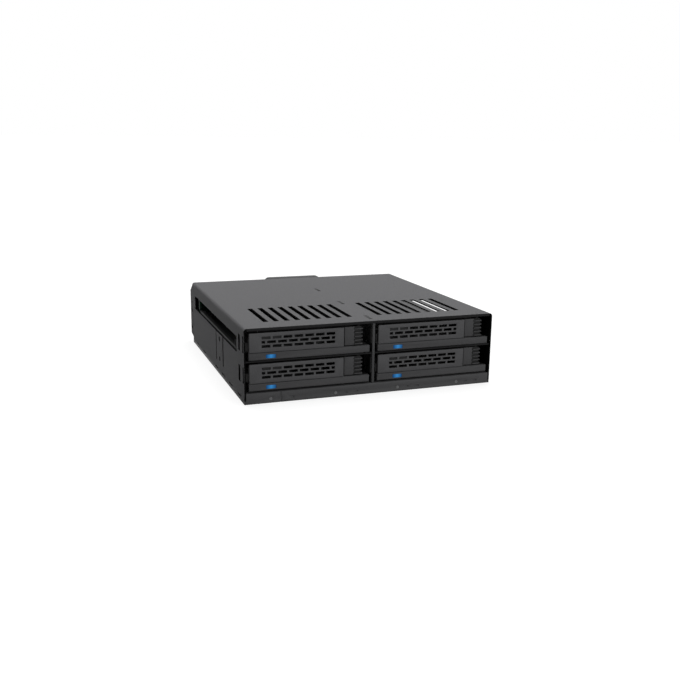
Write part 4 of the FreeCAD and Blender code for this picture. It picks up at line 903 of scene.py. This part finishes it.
def make_spring_tree():
    """Tree that stands a coil spring at each point of a mesh, along X."""
    tree = bpy.data.node_groups.new("coil_spring", "GeometryNodeTree")
    inputs = {"Places": add_input(tree, "Places", "NodeSocketGeometry")}
    for name in SPRING_SIZES:
        inputs[name] = add_input(tree, name, "NodeSocketFloat")
    inputs["Finish"] = add_input(tree, "Finish", "NodeSocketMaterial")
    nodes = tree.nodes
    link = tree.links.new
    given = nodes.new("NodeGroupInput")
    coil = nodes.new("GeometryNodeCurveSpiral")
    coil.inputs["Resolution"].default_value = TURN_POINTS
    link(given.outputs["Turns"], coil.inputs["Rotations"])
    link(given.outputs["Coil Radius"], coil.inputs["Start Radius"])
    link(given.outputs["Coil Radius"], coil.inputs["End Radius"])
    link(given.outputs["Length"], coil.inputs["Height"])
    wire = nodes.new("GeometryNodeCurvePrimitiveCircle")
    wire.inputs["Resolution"].default_value = WIRE_SIDES
    link(given.outputs["Wire Radius"], wire.inputs["Radius"])
    tube = nodes.new("GeometryNodeCurveToMesh")
    tube.inputs["Fill Caps"].default_value = True
    link(coil.outputs["Curve"], tube.inputs["Curve"])
    link(wire.outputs["Curve"], tube.inputs["Profile Curve"])
    lay = nodes.new("GeometryNodeTransform")
    lay.inputs["Rotation"].default_value = (0, math.pi / 2, 0)
    link(tube.outputs["Mesh"], lay.inputs["Geometry"])
    stand = nodes.new("GeometryNodeInstanceOnPoints")
    link(given.outputs["Places"], stand.inputs["Points"])
    link(lay.outputs["Geometry"], stand.inputs["Instance"])
    end_tree(tree, given, stand.outputs["Instances"])
    return tree, inputs


spring_tree, spring_inputs = make_spring_tree()
for tag in TRAYS:
    anchor = tuple(in_tray(tag, *SPRING_START))
    spring = points_piece("spring_coil" + tag, [anchor])
    nodes = spring.modifiers.new("coil", "NODES")
    nodes.node_group = spring_tree
    for name, size in SPRING_SIZES.items():
        nodes[spring_inputs[name]] = size
    nodes[spring_inputs["Finish"]] = bright_steel
    settle_on("lever" + tag, spring)
    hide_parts("latch_spring" + tag)
    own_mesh(spring)
print("faces in one spring:", len(spring.data.polygons))

# %% [markdown]
# Inside each plug and socket lies a row of thin gold contacts: seven for the data and fifteen for
# the power. They all have the same width and pitch, so the row tree makes them from two blades,
# a long one for the ports at the rear and a short one for the connectors of the trays.

# %% Gold contacts
CONTACT_PITCH = 1.2
DATA_CONTACTS = 7
POWER_CONTACTS = 15
BOARD_REAR = 133.6
PORT_Z = {"upper": 27.9, "lower": 11.1}
PORT_X = 32.3
POWER_X = 55.8
BLADE_HALF = 0.65
CONNECTOR_FRONT = 126.5
CONNECTOR_X = 4.8
CONNECTOR_SLOT_Z = 4.7
PIN_BLADE = ((-0.3, 0, -0.1), (0.3, 5.6, 0.1))
WELL_BLADE = ((-0.3, 0, -0.1), (0.3, 3.6, 0.2))
PIN_Y = BOARD_REAR + 2.8
WELL_Y = CONNECTOR_FRONT + 0.5
DATA_WELL_X = -11.2
POWER_WELL_X = 6.4


def contact_pattern(name, low, high):
    """One contact between two corners in millimetres, at the origin."""
    return new_piece(name, block_mesh(name, [v * MM for v in low], [v * MM for v in high]))


def contact_rows(name, middles, pattern, count):
    """Rows of contacts, each centred on a place in millimetres."""
    half = (count - 1) / 2 * CONTACT_PITCH
    places = [at(x - half, y, z) for x, y, z in middles]
    step = (CONTACT_PITCH * MM, 0.0, 0.0)
    rows = copies_at(name, places, pattern, count, step, NO_TURN, contact_gold)
    return settle_on("cage", rows)


pin_contact = contact_pattern("pin_contact", *PIN_BLADE)
well_contact = contact_pattern("well_contact", *WELL_BLADE)
ports = [(side * PORT_X, PIN_Y, z + BLADE_HALF) for side in (-1, 1) for z in PORT_Z.values()]
inlets = [(side * POWER_X, PIN_Y, PORT_Z["upper"] + BLADE_HALF) for side in (-1, 1)]
slots = [(x + CONNECTOR_X, z + CONNECTOR_SLOT_Z) for z in ROWS.values() for x in COLUMNS.values()]
data_wells = [(x + DATA_WELL_X, WELL_Y, z) for x, z in slots]
power_wells = [(x + POWER_WELL_X, WELL_Y, z) for x, z in slots]
contact_rows("data_contacts", ports, pin_contact, DATA_CONTACTS)
contact_rows("power_contacts", inlets, pin_contact, POWER_CONTACTS)
contact_rows("data_well_contacts", data_wells, well_contact, DATA_CONTACTS)
rows = contact_rows("power_well_contacts", power_wells, well_contact, POWER_CONTACTS)
bpy.data.objects.remove(pin_contact)
bpy.data.objects.remove(well_contact)
print("contacts in the power wells:", len(rows.data.polygons) // 6)

# %% [markdown]
# A screw is a shape of turning: one outline spun about its axis. The cross in its head is cut
# with two crossed blocks, as the tool that strikes a real head leaves it. One screw of each kind
# is made, turned the way that it points, and set at its places by the row tree. A screw's sizes
# are the radius and height of its head, the radius of its shank, and its reach under the head.

# %% Screws
SCREW_SIDES = 24
CROSS_WIDTH = 0.22
CROSS_REACH = 0.62
CROSS_DEPTH = 0.55
HEAD_CURVE = ((0.0, 1.0), (0.55, 0.97), (0.85, 0.75), (1.0, 0.4), (1.0, 0.0))
SMALL_SCREW = (2.3, 1.2, 1.2, 4.0)
FAN_SCREW = (2.7, 1.6, 1.4, 12.0)
TRAY_SCREW = (1.6, 0.7, 0.9, 2.7)
STANDOFF_X = 68.0
STANDOFF_Z = (5.2, 36.4)
FAN_Z = 21.0
FAN_HOLE = 16
BOARD_SEAT = 132.0
PANEL_SEAT = 149.0
FAN_SEAT = 159.0
TRAY_SEATS = ((21.5, 7.6, 0.7), (56.5, 7.6, 0.7))
TO_FRONT = (0, -1, 0)
TO_REAR = (0, 1, 0)
DOWN = (0, 0, -1)


def spun(name, outline, sides):
    """Closed shape of turning about Z from (radius, height) points, the ends on the axis."""
    mesh = bpy.data.meshes.new(name)
    work = bmesh.new()
    ring = [work.verts.new((radius, 0, height)) for radius, height in outline]
    edges = [work.edges.new(pair) for pair in zip(ring, ring[1:])]
    bmesh.ops.spin(
        work, geom=ring + edges, cent=(0, 0, 0), axis=(0, 0, 1), angle=math.tau, steps=sides
    )
    bmesh.ops.remove_doubles(work, verts=work.verts, dist=MERGE_GAP)
    bmesh.ops.recalc_face_normals(work, faces=work.faces)
    work.to_mesh(mesh)
    work.free()
    return mesh


def screw_pattern(name, sizes, toward):
    """Cross-recess screw at the origin: its head stands off the seat toward a direction."""
    radius, height, shank, reach = [size * MM for size in sizes]
    head = [(share * radius, rise * height) for share, rise in HEAD_CURVE]
    outline = head + [(shank, 0), (shank, -reach), (0, -reach)]
    piece = new_piece(name, spun(name, outline, SCREW_SIDES))
    helpers = []
    for share_x, share_y in ((CROSS_REACH, CROSS_WIDTH), (CROSS_WIDTH, CROSS_REACH)):
        low = (-share_x * radius, -share_y * radius, height * (1 - CROSS_DEPTH))
        high = (share_x * radius, share_y * radius, 2 * height)
        helper = new_piece(name + "_cross", block_mesh(name + "_cross", low, high))
        cut = piece.modifiers.new("cross", "BOOLEAN")
        cut.operation = "DIFFERENCE"
        cut.solver = "EXACT"
        cut.object = helper
        helpers.append(helper)
    settle(piece)
    for helper in helpers:
        bpy.data.objects.remove(helper)
    piece.data.transform(Vector(toward).to_track_quat("Z", "Y").to_matrix().to_4x4())
    return piece


def screws(node, sizes, toward, places):
    """Screws of one size at places in metres, which stand for a node."""
    kind = kind_of(node)
    name = kind + "_dressed" + node[len(kind):]
    pattern = screw_pattern(name + "_pattern", sizes, toward)
    piece = copies_at(name, places, pattern, 1, NO_STEP, NO_TURN, FINISH_OF[kind])
    settle_on(body_of(node), piece)
    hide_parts(node)
    bpy.data.objects.remove(pattern)
    return piece


standoffs = [(side * STANDOFF_X, z) for side in (-1, 1) for z in STANDOFF_Z]
fan_holes = [(x, FAN_Z + z) for x in (-FAN_HOLE, FAN_HOLE) for z in (-FAN_HOLE, FAN_HOLE)]
screws("board_screws", SMALL_SCREW, TO_FRONT, [at(x, BOARD_SEAT, z) for x, z in standoffs])
screws("panel_screws", SMALL_SCREW, TO_REAR, [at(x, PANEL_SEAT, z) for x, z in standoffs])
screws("fan_screws", FAN_SCREW, TO_REAR, [at(x, FAN_SEAT, z) for x, z in fan_holes])
for tag in TRAYS:
    seats = [in_tray(tag, *seat) for seat in TRAY_SEATS]
    made = screws("tray_screws" + tag, TRAY_SCREW, DOWN, seats)
print("faces in one pair of tray screws:", len(made.data.polygons))

# %% [markdown]
# The blades of a real fan are curved and twisted: steep at the hub and flatter at the tip, where
# they move faster. Such a surface follows a rule, so one blade is a small grid of points worked
# out from a radius and an angle, made thick with Solidify. The row tree turns seven of them
# about the axis, and the hub is another shape of turning.

# %% Fan rotor
FAN_FRONT = 149.8
FAN_REAR = 157.0
HUB_RADIUS = 9.0
BLADE_ROOT = 8.7
BLADE_TIP = 18.15
BLADE_COUNT = 7
BLADE_STEPS = 8
ROOT_SPAN = 5.6
TIP_SPAN = 4.2
ROOT_SWEEP = math.radians(34)
TIP_SWEEP = math.radians(38)
LEAN_BACK = math.radians(14)
BLADE_CURVE = 1.4
BLADE_THICKNESS = 0.8
HUB_SIDES = 64
HUB_OUTLINE = (
    (0, FAN_REAR),
    (HUB_RADIUS - 0.2, FAN_REAR),
    (HUB_RADIUS, FAN_REAR - 0.3),
    (HUB_RADIUS, FAN_FRONT + 0.8),
    (HUB_RADIUS - 0.25, FAN_FRONT + 0.25),
    (HUB_RADIUS - 0.9, FAN_FRONT),
    (HUB_RADIUS - 2.2, FAN_FRONT),
    (HUB_RADIUS - 2.4, FAN_FRONT + 0.25),
    (0, FAN_FRONT + 0.25),
)


def blade_pattern():
    """One twisted blade about the fan's axis, which lies along Y through the origin."""
    points = []
    for i in range(BLADE_STEPS + 1):
        share = i / BLADE_STEPS
        radius = BLADE_ROOT + share * (BLADE_TIP - BLADE_ROOT)
        span = ROOT_SPAN + share * (TIP_SPAN - ROOT_SPAN)
        sweep = ROOT_SWEEP + share * (TIP_SWEEP - ROOT_SWEEP)
        for j in range(BLADE_STEPS + 1):
            along = j / BLADE_STEPS
            angle = sweep * (along - 0.5) + LEAN_BACK * share
            depth = span * (along ** BLADE_CURVE - 0.5)
            point = Vector((radius * math.sin(angle), depth, radius * math.cos(angle)))
            points.append(point * MM)
    faces = []
    for i in range(BLADE_STEPS):
        for j in range(BLADE_STEPS):
            first = i * (BLADE_STEPS + 1) + j
            faces.append((first, first + 1, first + BLADE_STEPS + 2, first + BLADE_STEPS + 1))
    mesh = bpy.data.meshes.new("blade")
    mesh.from_pydata(points, [], faces)
    piece = new_piece("blade_pattern", mesh)
    solidify = piece.modifiers.new("thickness", "SOLIDIFY")
    solidify.thickness = BLADE_THICKNESS * MM
    solidify.offset = 0
    return settle(piece)


blade = blade_pattern()
middle = at(0, (FAN_FRONT + FAN_REAR) / 2, FAN_Z)
blade_turn = (0.0, math.tau / BLADE_COUNT, 0.0)
blades = copies_at("fan_blades", [middle], blade, BLADE_COUNT, NO_STEP, blade_turn, fan_black)
settle_on("fan_rotor", blades)
bpy.data.objects.remove(blade)
hub_outline = [(radius * MM, FRONT_Y + y * MM) for radius, y in HUB_OUTLINE]
hub = new_piece("fan_hub", spun("fan_hub", hub_outline, HUB_SIDES))
hub.data.transform(Matrix.Translation((0, 0, FAN_Z * MM)) @ Matrix.Rotation(-math.pi / 2, 4, "X"))
hub.data.materials.append(fan_black)
settle_on("fan_rotor", hub)
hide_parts("fan_rotor")
print("fan blades' faces:", len(blades.data.polygons))

# %% [markdown]
# The cage stands on a plain white floor under a large soft lamp, with a weaker lamp in front.
# A lamp strong enough to make the floor white would also wash out the black finishes. So the
# floor and the sky look white only to the camera and in reflections, and stay dim to the light
# that bounces about. The floor still takes the shadow of the cage, and grows fully white
# further out, so that it has no grey band at the horizon.

# %% Floor
FLOOR_REACH = 30
FLOOR_BOUNCE = 0.12
FLOOR_GLOW = 0.80
FLOOR_SHADED = 0.35
FLOOR_FADE = (0.35, 0.8)


def seen_rays(tree):
    """Socket that is 1 for rays of the camera, of gloss and of glass."""
    path = tree.nodes.new("ShaderNodeLightPath")
    direct = worked(tree, "MAXIMUM", path.outputs["Is Camera Ray"], path.outputs["Is Glossy Ray"])
    return worked(tree, "MAXIMUM", direct, path.outputs["Is Transmission Ray"])


def make_floor():
    """Wide white floor that looks white to the camera and still takes the shadow."""
    mesh = bpy.data.meshes.new("floor")
    signs = ((-1, -1), (1, -1), (1, 1), (-1, 1))
    corners = [(x * FLOOR_REACH, y * FLOOR_REACH, 0) for x, y in signs]
    mesh.from_pydata(corners, [], [(0, 1, 2, 3)])
    floor = new_piece("floor", mesh)
    material, tree, shader = new_material("floor_white")
    tree.nodes.remove(shader)
    dim = tree.nodes.new("ShaderNodeBsdfDiffuse")
    dim.inputs["Color"].default_value = (*grey(FLOOR_BOUNCE), 1)
    shaded = tree.nodes.new("ShaderNodeBsdfDiffuse")
    shaded.inputs["Color"].default_value = (FLOOR_SHADED, FLOOR_SHADED, FLOOR_SHADED, 1)
    x, y, z = place_sockets(tree)
    squares = worked(tree, "ADD", worked(tree, "MULTIPLY", x, x), worked(tree, "MULTIPLY", y, y))
    share = share_of(tree, worked(tree, "SQRT", squares), *FLOOR_FADE)
    more = worked(tree, "MULTIPLY", share, 1 - FLOOR_GLOW)
    glow = tree.nodes.new("ShaderNodeEmission")
    tree.links.new(worked(tree, "ADD", more, FLOOR_GLOW), glow.inputs["Strength"])
    white = tree.nodes.new("ShaderNodeAddShader")
    tree.links.new(shaded.outputs["BSDF"], white.inputs[0])
    tree.links.new(glow.outputs["Emission"], white.inputs[1])
    mix = tree.nodes.new("ShaderNodeMixShader")
    tree.links.new(seen_rays(tree), mix.inputs["Fac"])
    tree.links.new(dim.outputs["BSDF"], mix.inputs[1])
    tree.links.new(white.outputs["Shader"], mix.inputs[2])
    out = tree.nodes["Material Output"]
    tree.links.new(mix.outputs["Shader"], out.inputs["Surface"])
    mesh.materials.append(material)


make_floor()
print("floor reaches", FLOOR_REACH, "metres each way")

# %% [markdown]
# The photograph has one broad soft light from above and behind, which leaves the front and the
# left side in soft shade. A weak lamp in front on the right opens up the fronts. The power of a
# square lamp for a given level grows with the square of its distance.

# %% Lamps and world


def soft_lamp(name, place, size, level):
    """Square area lamp that lights the cage to a level, where 1 shows a colour as written."""
    data = bpy.data.lights.new(name, "AREA")
    data.size = size
    data.energy = level * math.pi ** 2 * Vector(place).length_squared
    lamp = bpy.data.objects.new(name, data)
    bpy.context.scene.collection.objects.link(lamp)
    lamp.location = place
    lamp.rotation_euler = (-Vector(place)).to_track_quat("-Z", "Y").to_euler()


def make_world(light, shown):
    """World that lights the cage softly and looks white to the camera."""
    world = bpy.data.worlds.new("world")
    world.use_nodes = True
    tree = world.node_tree
    tree.nodes.clear()
    lit = tree.nodes.new("ShaderNodeBackground")
    lit.inputs["Strength"].default_value = light
    seen = tree.nodes.new("ShaderNodeBackground")
    seen.inputs["Strength"].default_value = shown
    for background in (lit, seen):
        background.inputs["Color"].default_value = (1, 1, 1, 1)
    mix = tree.nodes.new("ShaderNodeMixShader")
    out = tree.nodes.new("ShaderNodeOutputWorld")
    tree.links.new(seen_rays(tree), mix.inputs["Fac"])
    tree.links.new(lit.outputs["Background"], mix.inputs[1])
    tree.links.new(seen.outputs["Background"], mix.inputs[2])
    tree.links.new(mix.outputs["Shader"], out.inputs["Surface"])
    bpy.context.scene.world = world


soft_lamp("top_lamp", (0.05, 0.30, 1.25), size=1.1, level=0.87)
soft_lamp("front_lamp", (0.45, -1.15, 0.40), size=0.8, level=0.31)
make_world(light=0.12, shown=1.0)
bpy.context.scene.view_settings.view_transform = "Standard"
print("lamps:", len(bpy.data.lights))
